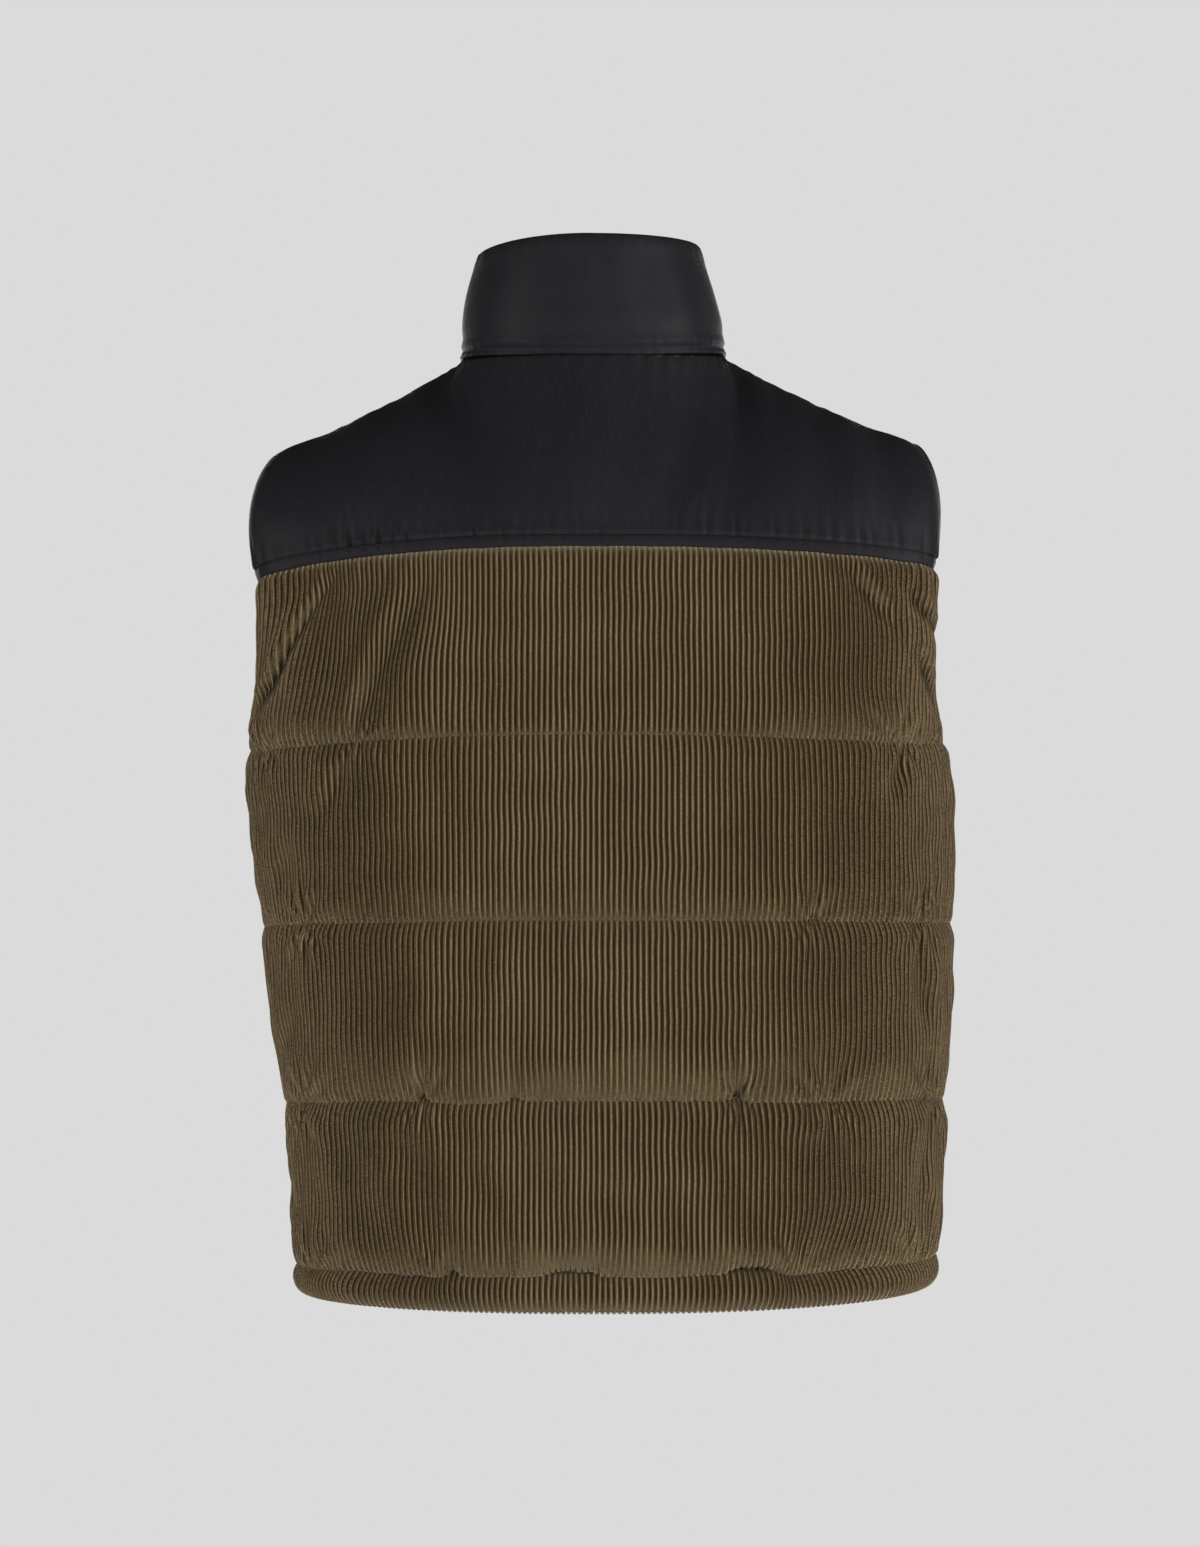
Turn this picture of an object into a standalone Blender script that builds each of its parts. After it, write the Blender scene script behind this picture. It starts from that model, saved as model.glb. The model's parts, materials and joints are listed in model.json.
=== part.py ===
"""Quilted vest: corduroy body in four baffles, satin yoke, padded stand collar and a front zip.

Metres, +Z up. The back of the vest faces -Y and its front faces +Y. The origin lies between the
shoulders, level with the middle of the shoulder seams, where the vest bears on its wearer.
Every cloth piece is an open sheet that follows the inside of the vest, and its wall stands out
from that sheet: thin at seams and quilting lines, thick where the padding fills it.
"""

import math
from collections import namedtuple

import bmesh
import bpy
import numpy as np
from mathutils import Matrix, Vector

# ---------------------------------------------------------------- driving sizes, metres
SEAM_GAP = 0.0003  # between neighbouring pieces
YOKE_SEAM_GAP = 0.0008  # where the wall turns a corner, so that its outside keeps its gap
EDGE_WALL = 0.003  # wall at a seam or a quilting line
BODY_WALL = 0.013  # wall at the crown of a body baffle
YOKE_WALL = 0.008
COLLAR_WALL = 0.009
HEM_WALL = 0.012
CROWN_POWER = 0.6  # below 1 the padding fills a strip out towards its seams
EDGE_POWER = 5  # how close to a side edge the padding starts to thin
BODY_SIDE_FILL = 0.30  # share of the padding left at a side edge
YOKE_SIDE_FILL = 0.45
HEM_SIDE_FILL = 0.75
ZIP_EDGE_FILL = 0.10  # share left beside the zip
ZIP_EDGE_STATIONS = 0.12  # over which the padding rises away from the zip

ARMHOLE_TOP = -0.0360  # its bottom is where the upper quilting line meets the side
ARMHOLE_REACH_BACK = 0.064  # from the side plane to the back edge of the armhole
ARMHOLE_REACH_FRONT = 0.072

NECK_LEFT = 0.0850
NECK_RIGHT = 0.0840
NECK_BACK = 0.0760
NECK_FRONT = 0.0880
NECK_BACK_HEIGHT = 0.0220
NECK_LEFT_HEIGHT = 0.0235
NECK_RIGHT_HEIGHT = 0.0260
NECK_FRONT_HEIGHT = -0.0450
NECK_DROP_POWER = 1.5  # how soon the neckline falls away from the shoulder seam
NECK_STATION = 0.36  # share of the yoke's width that ends at the neckline
SHOULDER_TIP_LEFT = (0.2085, -0.0390)  # sideways from the middle, height
SHOULDER_TIP_RIGHT = (0.2125, -0.0330)
SHOULDER_SAG = 0.0040

COLLAR_SEAT_BACK = 0.0012  # of the collar above the inside of the neckline
COLLAR_SEAT_FRONT = 0.0042
COLLAR_SEAT_SIDE = 0.0036
COLLAR_TOP_BACK = 0.1015
COLLAR_TOP_SIDE = 0.0970
COLLAR_TOP_FRONT = 0.0520
COLLAR_LEAN = 0.0020  # of the collar's top towards the left
COLLAR_DEPTH_BACK = 0.35  # share of its narrowing that the collar's depth follows
COLLAR_DEPTH_FRONT = 0.25

ZIP_HALF = 0.0100  # from the middle of the zip to the edge of the front
TAPE_WALL = 0.0012
TAPE_LIFT = 0.0009  # of the tape's inner face above the inside of the front
TAPE_START = 0.0020  # of the tapes above the bottom of the hem
TAPE_END = 0.0100  # of the tapes below the collar's top edge
SLIDER_WIDTH = 0.0084
SLIDER_LENGTH = 0.0120
SLIDER_PLATE = 0.0012
SLIDER_ROOM = 0.0007  # between each plate and the tapes, where the teeth run
POST_WIDTH = 0.0036
POST_LENGTH = 0.0022
BRIDGE_RADIUS = 0.0008
BRIDGE_START = -0.0075  # from the top of the tapes, along the slider
BRIDGE_LENGTH = 0.0060
BRIDGE_RISE = 0.0034
BRIDGE_CORNER = 0.0010
BRIDGE_ROOT = 0.0006  # of the bridge's feet inside the front plate
PULL_LENGTH = 0.0260
PULL_WIDTH = 0.0076
PULL_TIP_WIDTH = 0.0054
PULL_THICKNESS = 0.0014
PULL_LIFT = 0.0006  # of the tab above the front plate
PULL_CORNER = 0.0009
PULL_WAIST_START = -0.0110  # from the pivot, where the tab narrows
PULL_WAIST_END = -0.0140
PULL_EYE_WIDTH = 0.0038
PULL_EYE_LENGTH = 0.0072
BEVEL_SHARE = 0.2  # of a block's smallest side

# ---------------------------------------------------------------- tables
# The inside of the vest at each height: half widths to the wearer's left and right of the
# middle, depth to the back and to the front, and how square the section is (2 is an ellipse).
Section = namedtuple("Section", "height left right back front square")
SECTIONS = (
    Section(-0.5970, 0.1930, 0.2220, 0.1190, 0.1220, 2.15),
    Section(-0.5700, 0.1940, 0.2235, 0.1215, 0.1245, 2.20),
    Section(-0.5250, 0.1950, 0.2250, 0.1240, 0.1270, 2.20),
    Section(-0.4580, 0.2020, 0.2285, 0.1265, 0.1300, 2.25),
    Section(-0.4000, 0.2090, 0.2315, 0.1285, 0.1320, 2.30),
    Section(-0.3430, 0.2155, 0.2325, 0.1295, 0.1330, 2.30),
    Section(-0.2850, 0.2215, 0.2330, 0.1300, 0.1330, 2.35),
    Section(-0.2370, 0.2235, 0.2290, 0.1290, 0.1320, 2.40),
    Section(-0.2100, 0.2180, 0.2200, 0.1278, 0.1308, 2.45),
    Section(-0.1800, 0.2155, 0.2180, 0.1255, 0.1285, 2.50),
    Section(-0.1450, 0.2150, 0.2185, 0.1215, 0.1245, 2.50),
    Section(-0.1050, 0.2180, 0.2190, 0.1150, 0.1170, 2.50),
    Section(-0.0700, 0.2195, 0.2180, 0.1070, 0.1080, 2.50),
)

# Seams and quilting lines, from the bottom up: height in the middle, and at both side ends.
Line = namedtuple("Line", "name middle left right")
BACK_LINES = (
    Line("hem seam", -0.5700, -0.5760, -0.5680),
    Line("lower quilting", -0.4580, -0.4690, -0.4660),
    Line("middle quilting", -0.3430, -0.3515, -0.3490),
    Line("upper quilting", -0.2250, -0.2360, -0.2310),
    Line("yoke seam", -0.1040, -0.1240, -0.1160),
)
FRONT_LINES = (
    Line("hem seam", -0.5700, -0.5760, -0.5680),
    Line("lower quilting", -0.4600, -0.4690, -0.4660),
    Line("middle quilting", -0.3450, -0.3515, -0.3490),
    Line("upper quilting", -0.2290, -0.2360, -0.2310),
    Line("yoke seam", -0.1240, -0.1290, -0.1270),
)
UNDERARM = BACK_LINES[3]
HEM_BOTTOM = Line("hem bottom", -0.5960, -0.5955, -0.5910)
LINE_DROP_POWER = 2.4  # how late a line drops towards its side ends

# Ribs of the yoke, from the middle (0) to the armhole (1): how far the cloth keeps its slope
# above the yoke seam, how far it keeps the direction in which it reaches its top edge, that
# direction (inwards, forwards, up), and how far the rib swells sideways.
Rib = namedtuple("Rib", "station lift reach inward forward up swell")
BACK_RIBS = (
    Rib(0.00, 0.045, 0.045, 0.00, 0.30, 0.95, 0.000),
    Rib(0.20, 0.045, 0.040, 0.25, 0.45, 0.86, 0.000),
    Rib(0.36, 0.050, 0.045, 0.35, 0.68, 0.62, 0.000),
    Rib(0.50, 0.055, 0.055, 0.12, 0.95, 0.28, 0.000),
    Rib(0.80, 0.055, 0.055, 0.00, 0.99, 0.14, 0.003),
    Rib(1.00, 0.045, 0.040, 0.30, 0.94, 0.15, 0.010),
)
FRONT_RIBS = (
    Rib(0.00, 0.025, 0.022, 0.00, 0.40, 0.92, 0.000),
    Rib(0.20, 0.030, 0.030, 0.30, 0.45, 0.84, 0.000),
    Rib(0.36, 0.045, 0.045, 0.40, 0.68, 0.60, 0.000),
    Rib(0.50, 0.055, 0.055, 0.12, 0.95, 0.28, 0.000),
    Rib(0.80, 0.055, 0.055, 0.00, 0.99, 0.12, 0.003),
    Rib(1.00, 0.045, 0.040, 0.30, 0.94, 0.15, 0.010),
)

# Rows of the collar: share of its height, width of its inside against the neckline, padding.
CollarRow = namedtuple("CollarRow", "share width fill")
COLLAR_ROWS = (
    CollarRow(0.00, 1.000, 0.33),
    CollarRow(0.22, 0.940, 0.95),
    CollarRow(0.50, 0.905, 1.00),
    CollarRow(0.80, 0.840, 1.00),
    CollarRow(0.94, 0.800, 0.80),
    CollarRow(1.00, 0.785, 0.45),
)

# Rows of the hem tube: share of its height from the bottom, padding.
HemRow = namedtuple("HemRow", "share fill")
HEM_ROWS = (HemRow(0.0, 0.34), HemRow(0.2, 0.78), HemRow(0.5, 1.0), HemRow(0.8, 0.86), HemRow(1.0, 0.25))

# The largest folds of the back and, alike, of the front: ends of each as station across and
# height, half width, and the share of the padding that it presses away.
Fold = namedtuple("Fold", "station_a height_a station_b height_b half_width depth")
BACK_FOLDS = (
    Fold(-0.72, -0.118, -0.985, -0.208, 0.011, 0.75),
    Fold(-0.50, -0.112, -0.72, -0.216, 0.009, 0.35),
    Fold(0.78, -0.124, 0.96, -0.176, 0.009, 0.55),
    Fold(0.88, -0.160, 0.985, -0.200, 0.009, 0.50),
    Fold(-0.72, -0.238, -0.82, -0.285, 0.010, 0.45),
    Fold(0.82, -0.236, 0.78, -0.262, 0.009, 0.40),
)
FRONT_FOLDS = (
    Fold(-0.76, -0.134, -0.97, -0.205, 0.010, 0.65),
    Fold(0.70, -0.132, 0.98, -0.212, 0.011, 0.65),
    Fold(0.74, -0.240, 0.84, -0.290, 0.010, 0.40),
)

# ---------------------------------------------------------------- how finely pieces are divided
COLUMNS_BACK = 26
COLUMNS_FRONT = 13
ROWS_BAFFLE = 6
ROWS_YOKE = 8
COLUMNS_COLLAR_QUARTER = 7
TAPE_ROWS = 3  # for each baffle
YOKE_TAPE_ROWS = 4

# ---------------------------------------------------------------- colours
Finish = namedtuple("Finish", "colour roughness metallic")
FINISHES = {
    "nylon": Finish((0.022, 0.021, 0.024), 0.45, 0.0),
    "corduroy": Finish((0.075, 0.052, 0.028), 0.90, 0.0),
    "tape": Finish((0.020, 0.020, 0.021), 0.80, 0.0),
    "metal": Finish((0.060, 0.060, 0.062), 0.35, 1.0),
}

SLOPE_STEP = 0.008  # over which the body's slope is read at the yoke seam
TOP_BLEND = 0.15  # stations over which the yoke eases the corner between neck and shoulder
HALF_GIRTH = 0.29  # cloth from the middle of a face to its side, for measuring folds
PATH_STEP = 0.002  # the least length of the zip's last stretch

BACK = -1  # the sign of Y on the back and on the front
FRONT = 1


# ---------------------------------------------------------------- form of the vest
def smooth_table(at, rows, name):
    """A column of a table read at `at` along a smooth curve through its rows."""
    keys = np.array([row[0] for row in rows])
    values = np.array([getattr(row, name) for row in rows])
    slopes = np.gradient(values, keys)
    at = np.clip(at, keys[0], keys[-1])
    i = np.clip(np.searchsorted(keys, at) - 1, 0, len(keys) - 2)
    span = keys[i + 1] - keys[i]
    t = (at - keys[i]) / span
    rise = values[i] * (2 * t**3 - 3 * t**2 + 1) + values[i + 1] * (3 * t**2 - 2 * t**3)
    return rise + span * (slopes[i] * (t**3 - 2 * t**2 + t) + slopes[i + 1] * (t**3 - t**2))


def line_height(line, station):
    """Height of a seam or quilting line at stations from -1 (left end) to 1 (right end)."""
    end = np.where(station < 0, line.left, line.right)
    return line.middle + (end - line.middle) * np.abs(station) ** LINE_DROP_POWER


def armhole_inset(height, station, face):
    """How far a row's side ends stand off the side plane: the gap, or the armhole's curve."""
    reach = ARMHOLE_REACH_BACK if face == BACK else ARMHOLE_REACH_FRONT
    bottom = np.where(station < 0, UNDERARM.left, UNDERARM.right)
    ends = np.where(station < 0, height[np.argmin(station)], height[np.argmax(station)])
    t = np.clip((2 * ends - ARMHOLE_TOP - bottom) / (ARMHOLE_TOP - bottom), -1, 1)
    return SEAM_GAP / 2 + reach * np.sqrt(1 - t * t)


def quarter(share, width, inset, depth, square):
    """A quarter of one section at shares of its length from the middle: sideways and outwards."""
    angle = np.linspace(0, math.pi / 2, 181)
    power = 2 / np.mean(square)
    x = np.mean(width) * np.sin(angle) ** power
    y = np.mean(depth - inset) * np.cos(angle) ** power
    length = np.concatenate([[0], np.cumsum(np.hypot(np.diff(x), np.diff(y)))])
    here = np.interp(share, length / length[-1], angle)
    power = 2 / square
    return width * np.sin(here) ** power, inset + (depth - inset) * np.cos(here) ** power


def section_row(face, station, height):
    """One row of points of the body's inside."""
    sides = [smooth_table(height, SECTIONS, side) for side in ("left", "right")]
    width = np.where(station < 0, *sides)
    depth = smooth_table(height, SECTIONS, "back" if face == BACK else "front")
    square = smooth_table(height, SECTIONS, "square")
    inset = armhole_inset(height, station, face)
    x, y = quarter(np.abs(station), width, inset, depth, square)
    return np.stack([np.sign(station) * x, face * y, height], axis=-1)


def body_points(face, station, height):
    """Rows of points of the body's inside. Stations run from -1 at the left side to 1 at the right."""
    return np.array([section_row(face, s, h) for s, h in zip(station, height)])


def neck_point(face, angle, side):
    """The neckline's inside, from the middle of the face (0) to the shoulder seam (90 degrees)."""
    width = np.where(side < 0, NECK_LEFT, NECK_RIGHT)
    depth = NECK_BACK if face == BACK else NECK_FRONT
    low = NECK_BACK_HEIGHT if face == BACK else NECK_FRONT_HEIGHT
    high = np.where(side < 0, NECK_LEFT_HEIGHT, NECK_RIGHT_HEIGHT)
    height = high + (low - high) * np.cos(angle) ** NECK_DROP_POWER
    y = np.maximum(depth * np.cos(angle), SEAM_GAP / 2)
    return np.stack([side * width * np.sin(angle), face * y, height], axis=-1)


def yoke_top(face, station):
    """The yoke's top edge: neckline, then shoulder seam out to the shoulder tip."""
    side = np.where(station < 0, -1.0, 1.0)
    share = np.abs(station)
    neck = neck_point(face, np.minimum(share / NECK_STATION, 1) * math.pi / 2, side)
    t = np.clip((share - NECK_STATION) / (1 - NECK_STATION), 0, 1)
    start = np.where(side < 0, NECK_LEFT, NECK_RIGHT)
    tip = np.where(side < 0, SHOULDER_TIP_LEFT[0], SHOULDER_TIP_RIGHT[0])
    high = np.where(side < 0, NECK_LEFT_HEIGHT, NECK_RIGHT_HEIGHT)
    low = np.where(side < 0, SHOULDER_TIP_LEFT[1], SHOULDER_TIP_RIGHT[1])
    height = high + (low - high) * t - SHOULDER_SAG * 4 * t * (1 - t)
    y = np.full_like(t, face * SEAM_GAP / 2)
    shoulder = np.stack([side * (start + (tip - start) * t), y, height], axis=-1)
    return np.where((share <= NECK_STATION)[..., None], neck, shoulder)


def unit(vectors):
    return vectors / np.linalg.norm(vectors, axis=-1, keepdims=True)


def yoke_row(face, station, rise):
    """One row of points of the yoke's inside, from 0 at the yoke seam to 1 at its top edge."""
    seam = line_height((BACK_LINES if face == BACK else FRONT_LINES)[-1], station)
    seam = seam + YOKE_SEAM_GAP - SEAM_GAP / 2
    ribs = BACK_RIBS if face == BACK else FRONT_RIBS
    share = np.abs(station)
    side = np.where(station < 0, -1.0, 1.0)
    start = section_row(face, station, seam)
    slope = unit(section_row(face, station, seam + SLOPE_STEP) - start)
    end = yoke_top(face, station)
    shifts = np.linspace(-TOP_BLEND, TOP_BLEND, 7)
    eased = np.mean([yoke_top(face, np.clip(station + shift, -1, 1)) for shift in shifts], axis=0)
    inward, forward, up = (smooth_table(share, ribs, name) for name in ("inward", "forward", "up"))
    arrival = unit(np.stack([-side * inward, -face * forward, up], axis=-1))
    swell = np.zeros_like(start)
    swell[..., 0] = side * smooth_table(share, ribs, "swell")
    low = start + slope * smooth_table(share, ribs, "lift")[..., None] + swell
    high = eased - arrival * smooth_table(share, ribs, "reach")[..., None] + swell / 2
    t = rise
    return start * (1 - t) ** 3 + 3 * low * t * (1 - t) ** 2 + 3 * high * t**2 * (1 - t) + end * t**3


def collar_points(face, angle, side, row):
    """Points of the collar's inside at one of its rows."""
    base = neck_point(face, angle, side)
    seat = COLLAR_SEAT_BACK if face == BACK else COLLAR_SEAT_FRONT
    base[..., 2] += seat + (COLLAR_SEAT_SIDE - seat) * np.sin(angle) ** 2
    top_middle = COLLAR_TOP_BACK if face == BACK else COLLAR_TOP_FRONT
    top = COLLAR_TOP_SIDE + (top_middle - COLLAR_TOP_SIDE) * np.cos(angle) ** NECK_DROP_POWER
    points = base.copy()
    lean = COLLAR_LEAN * row.share * np.sin(angle) if face == FRONT else COLLAR_LEAN * row.share
    points[..., 0] = side * (ZIP_HALF + (np.abs(base[..., 0]) - ZIP_HALF) * row.width) - lean
    depth_share = 1 - (1 - row.width) * (COLLAR_DEPTH_BACK if face == BACK else COLLAR_DEPTH_FRONT)
    points[..., 1] = base[..., 1] * depth_share
    points[..., 2] = base[..., 2] + (top - base[..., 2]) * row.share
    return points


def front_station(height):
    """The station of the front's zip edge."""
    width = smooth_table(height, SECTIONS, "right")
    depth = smooth_table(height, SECTIONS, "front")
    return ZIP_HALF / (0.5 * math.pi * np.sqrt((width**2 + depth**2) / 2))


def fold_relief(folds, station, height):
    """The share of padding left beside the folds pressed into it."""
    left = np.ones_like(height)
    for fold in folds:
        a = np.array([fold.station_a * HALF_GIRTH, fold.height_a])
        b = np.array([fold.station_b * HALF_GIRTH, fold.height_b])
        point = np.stack([station * HALF_GIRTH, height], axis=-1) - a
        along = np.clip(point @ (b - a) / np.dot(b - a, b - a), 0, 1)
        off = np.linalg.norm(point - along[..., None] * (b - a), axis=-1)
        left = left * (1 - fold.depth * np.exp(-((off / fold.half_width) ** 2)))
    return left


def pillow(share):
    """The crown of a padded strip between two seams, 0 at both and 1 in the middle."""
    return np.sin(math.pi * np.clip(share, 0, 1)) ** CROWN_POWER


# ---------------------------------------------------------------- Blender objects
def material(name):
    finish = FINISHES[name]
    made = bpy.data.materials.get(name) or bpy.data.materials.new(name)
    made.use_nodes = True
    shader = made.node_tree.nodes["Principled BSDF"]
    shader.inputs["Base Color"].default_value = (*finish.colour, 1)
    shader.inputs["Roughness"].default_value = finish.roughness
    shader.inputs["Metallic"].default_value = finish.metallic
    made.diffuse_color = (*finish.colour, 1)
    return made


def add_object(name, data, finish):
    """Links a new object for this mesh or curve into the vest's collection."""
    made = bpy.data.objects.new(name, data)
    bpy.data.collections["vest"].objects.link(made)
    data.materials.append(material(finish))
    return made


def grid_mesh(name, points):
    """A mesh of quads through rows and columns of points."""
    rows, columns = points.shape[:2]
    index = np.arange(rows * columns).reshape(rows, columns)
    quads = np.stack([index[:-1, :-1], index[:-1, 1:], index[1:, 1:], index[1:, :-1]], axis=-1)
    mesh = bpy.data.meshes.new(name)
    mesh.from_pydata(points.reshape(-1, 3).tolist(), [], quads.reshape(-1, 4).tolist())
    mesh.shade_smooth()
    return mesh


def cloth_piece(name, points, fill, wall, finish):
    """A sheet through `points` with a wall that stands out from it by `wall` times `fill`."""
    piece = add_object(name, grid_mesh(name, points), finish)
    group = piece.vertex_groups.new(name="fill")
    for vertex, weight in enumerate(fill.reshape(-1)):
        group.add([vertex], float(weight), "REPLACE")
    solidify = piece.modifiers.new("wall", "SOLIDIFY")
    solidify.thickness = wall
    solidify.offset = 1
    solidify.vertex_group = "fill"
    return piece


def padding(crown, wall):
    """Solidify weights from the thin wall at a seam to the full wall at the crown."""
    thin = EDGE_WALL / wall
    return thin + (1 - thin) * crown


def face_columns(face, side):
    """Stations of a panel's columns, in the order that turns its outside outwards."""
    if face == BACK:
        return np.linspace(-1, 1, COLUMNS_BACK + 1)
    outer = np.linspace(1, 0, COLUMNS_FRONT + 1)
    return outer if side > 0 else -outer[::-1]


def panel_stations(face, side, height):
    """Stations over the whole grid: on a front they start at its zip edge."""
    base = face_columns(face, side)[None, :] + 0 * height
    if face == BACK:
        return base
    start = front_station(height)
    return np.sign(side) * (start + (1 - start) * np.abs(base))


def straighten_zip_edge(points, face, side):
    """Sets the zip edge of a front exactly on its line."""
    if face == FRONT:
        points[:, -1 if side > 0 else 0, 0] = side * ZIP_HALF
    return points


def across(station, side_fill, face):
    """Padding across a panel: it thins to its side edges and, on a front, to the zip."""
    ends = 1 - (1 - side_fill) * np.abs(station) ** EDGE_POWER
    if face == FRONT:
        ends = ends * np.clip(ZIP_EDGE_FILL + np.abs(station) / ZIP_EDGE_STATIONS, 0, 1)
    return ends


def body_panel(name, face, side):
    lines = BACK_LINES if face == BACK else FRONT_LINES
    columns = face_columns(face, side)
    heights = []
    crowns = []
    for number, (low, high) in enumerate(zip(lines, lines[1:])):
        shares = (1 - np.cos(np.linspace(0, math.pi, ROWS_BAFFLE + 1)))[1 if number else 0 :] / 2
        bottom = line_height(low, columns)
        top = line_height(high, columns)
        heights.extend(bottom + (top - bottom) * share for share in shares)
        crowns.extend(np.full_like(columns, pillow(share)) for share in shares)
    height = np.array(heights)
    height[0] += SEAM_GAP / 2
    height[-1] -= SEAM_GAP / 2
    station = panel_stations(face, side, height)
    points = straighten_zip_edge(body_points(face, station, height), face, side)
    folds = BACK_FOLDS if face == BACK else FRONT_FOLDS
    relief = fold_relief(folds, station, height)
    crown = np.array(crowns) * across(station, BODY_SIDE_FILL, face) * relief
    return cloth_piece(name, points, padding(crown, BODY_WALL), BODY_WALL, "corduroy")


def hem_panel(name, face, side):
    columns = face_columns(face, side)
    seam = line_height((BACK_LINES if face == BACK else FRONT_LINES)[0], columns) - SEAM_GAP / 2
    bottom = line_height(HEM_BOTTOM, columns)
    height = np.array([bottom + (seam - bottom) * row.share for row in HEM_ROWS])
    station = panel_stations(face, side, height)
    points = straighten_zip_edge(body_points(face, station, height), face, side)
    fill = np.array([row.fill for row in HEM_ROWS])[:, None] * across(station, HEM_SIDE_FILL, face)
    return cloth_piece(name, points, np.maximum(fill, EDGE_WALL / HEM_WALL), HEM_WALL, "corduroy")


def yoke_panel(name, face, side):
    lines = BACK_LINES if face == BACK else FRONT_LINES
    seam = np.full((1, 1), lines[-1].middle)
    station = panel_stations(face, side, seam)[0]
    rises = np.linspace(0, 1, ROWS_YOKE + 1)
    points = np.array([yoke_row(face, station, rise) for rise in rises])
    points = straighten_zip_edge(points, face, side)
    crown = pillow(rises)[:, None] * across(station, YOKE_SIDE_FILL, face)
    return cloth_piece(name, points, padding(crown, YOKE_WALL), YOKE_WALL, "nylon")


def collar_ring():
    """(face, angle, side) of each column of the collar, from its left front end round the back."""
    first = math.asin(ZIP_HALF / NECK_LEFT)
    front = np.linspace(first, math.pi / 2, COLUMNS_COLLAR_QUARTER + 1)
    back = np.linspace(math.pi / 2, 0, COLUMNS_COLLAR_QUARTER + 1)[1:]
    left = [(FRONT, a, -1.0) for a in front] + [(BACK, a, -1.0) for a in back]
    right = [(face, a, 1.0) for face, a, _ in reversed(left[:-1])]
    return left + right


def collar_piece():
    ring = collar_ring()
    rows = [
        [collar_points(face, np.array(angle), side, row) for face, angle, side in ring]
        for row in COLLAR_ROWS
    ]
    points = np.array(rows)
    points[:, 0, 0] = -ZIP_HALF
    points[:, -1, 0] = ZIP_HALF
    fill = np.repeat(np.array([row.fill for row in COLLAR_ROWS])[:, None], len(ring), axis=1)
    fill[:, [0, -1]] = EDGE_WALL / COLLAR_WALL
    return cloth_piece("collar", points, fill, COLLAR_WALL, "nylon")


# ---------------------------------------------------------------- zip
def zip_path():
    """The inside of the vest along the middle of the zip, from the hem to the collar's top."""
    heights = [HEM_BOTTOM.middle + TAPE_START]
    for low, high in zip(FRONT_LINES, FRONT_LINES[1:]):
        heights.extend(np.linspace(low.middle, high.middle, TAPE_ROWS + 1)[:-1])
    middle = np.array(heights)
    body = section_row(FRONT, np.zeros_like(middle), middle)
    station = np.array([front_station(FRONT_LINES[-1].middle)])
    yoke = [yoke_row(FRONT, station, rise)[0] for rise in np.linspace(0, 1, YOKE_TAPE_ROWS + 1)]
    angle = np.array(math.asin(ZIP_HALF / NECK_LEFT))
    collar = np.array([collar_points(FRONT, angle, 1.0, row) for row in COLLAR_ROWS])
    return np.concatenate([body, yoke, collar])[:, 1:]


def path_with_end(path, cut):
    """The path shortened at its top by `cut`, with its outward normals."""
    length = np.concatenate([[0], np.cumsum(np.linalg.norm(np.diff(path, axis=0), axis=1))])
    keep = length < length[-1] - cut - PATH_STEP
    top = [np.interp(length[-1] - cut, length, path[:, i]) for i in (0, 1)]
    path = np.vstack([path[keep], top])
    tangent = unit(np.gradient(path, axis=0))
    return path, np.stack([tangent[:, 1], -tangent[:, 0]], axis=-1)


def zip_tape(name, side):
    path, normal = path_with_end(zip_path(), TAPE_END)
    path = path + normal * TAPE_LIFT
    inner = side * SEAM_GAP / 2
    outer = side * (ZIP_HALF - SEAM_GAP)
    ends = (outer, inner) if side > 0 else (inner, outer)
    columns = [np.column_stack([np.full(len(path), x), path]) for x in ends]
    points = np.stack(columns, axis=1)
    fill = np.ones(points.shape[:2])
    return cloth_piece(name, points, fill, TAPE_WALL, "tape")


def slider_frame():
    """Matrix at the top of the tapes: X across, Y outwards, Z up along the zip."""
    path, normal = path_with_end(zip_path(), TAPE_END)
    out = Vector((0, *normal[-1]))
    up = Vector((1, 0, 0)).cross(out)
    middle = Vector((0, *path[-1])) + out * (TAPE_LIFT + TAPE_WALL / 2)
    rotation = Matrix((Vector((1, 0, 0)), out, up)).transposed().to_4x4()
    return Matrix.Translation(middle) @ rotation


def block(name, size, centre):
    """A block with a small bevel, as a mesh in the slider's own frame."""
    work = bmesh.new()
    bmesh.ops.create_cube(work, size=1)
    bmesh.ops.scale(work, vec=size, verts=work.verts)
    width = min(size) * BEVEL_SHARE
    bmesh.ops.bevel(work, geom=work.edges[:], offset=width, segments=1, affect="EDGES")
    bmesh.ops.translate(work, vec=centre, verts=work.verts)
    mesh = bpy.data.meshes.new(name)
    work.to_mesh(mesh)
    work.free()
    return mesh


def bridge_curve(outside):
    """The bridge that carries the pull tab, as a bent wire on the slider's front plate."""
    curve = bpy.data.curves.new("bridge", "CURVE")
    curve.dimensions = "3D"
    curve.bevel_depth = BRIDGE_RADIUS
    curve.bevel_resolution = 1
    curve.use_fill_caps = True
    low = BRIDGE_START
    high = low + BRIDGE_LENGTH
    root = outside - BRIDGE_ROOT
    rise = outside + BRIDGE_RISE
    route = (
        (root, low),
        (rise - BRIDGE_CORNER, low),
        (rise, low + BRIDGE_CORNER),
        (rise, high - BRIDGE_CORNER),
        (rise - BRIDGE_CORNER, high),
        (root, high),
    )
    spline = curve.splines.new("POLY")
    spline.points.add(len(route) - 1)
    for point, (y, z) in zip(spline.points, route):
        point.co = (0, y, z, 1)
    return curve


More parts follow.
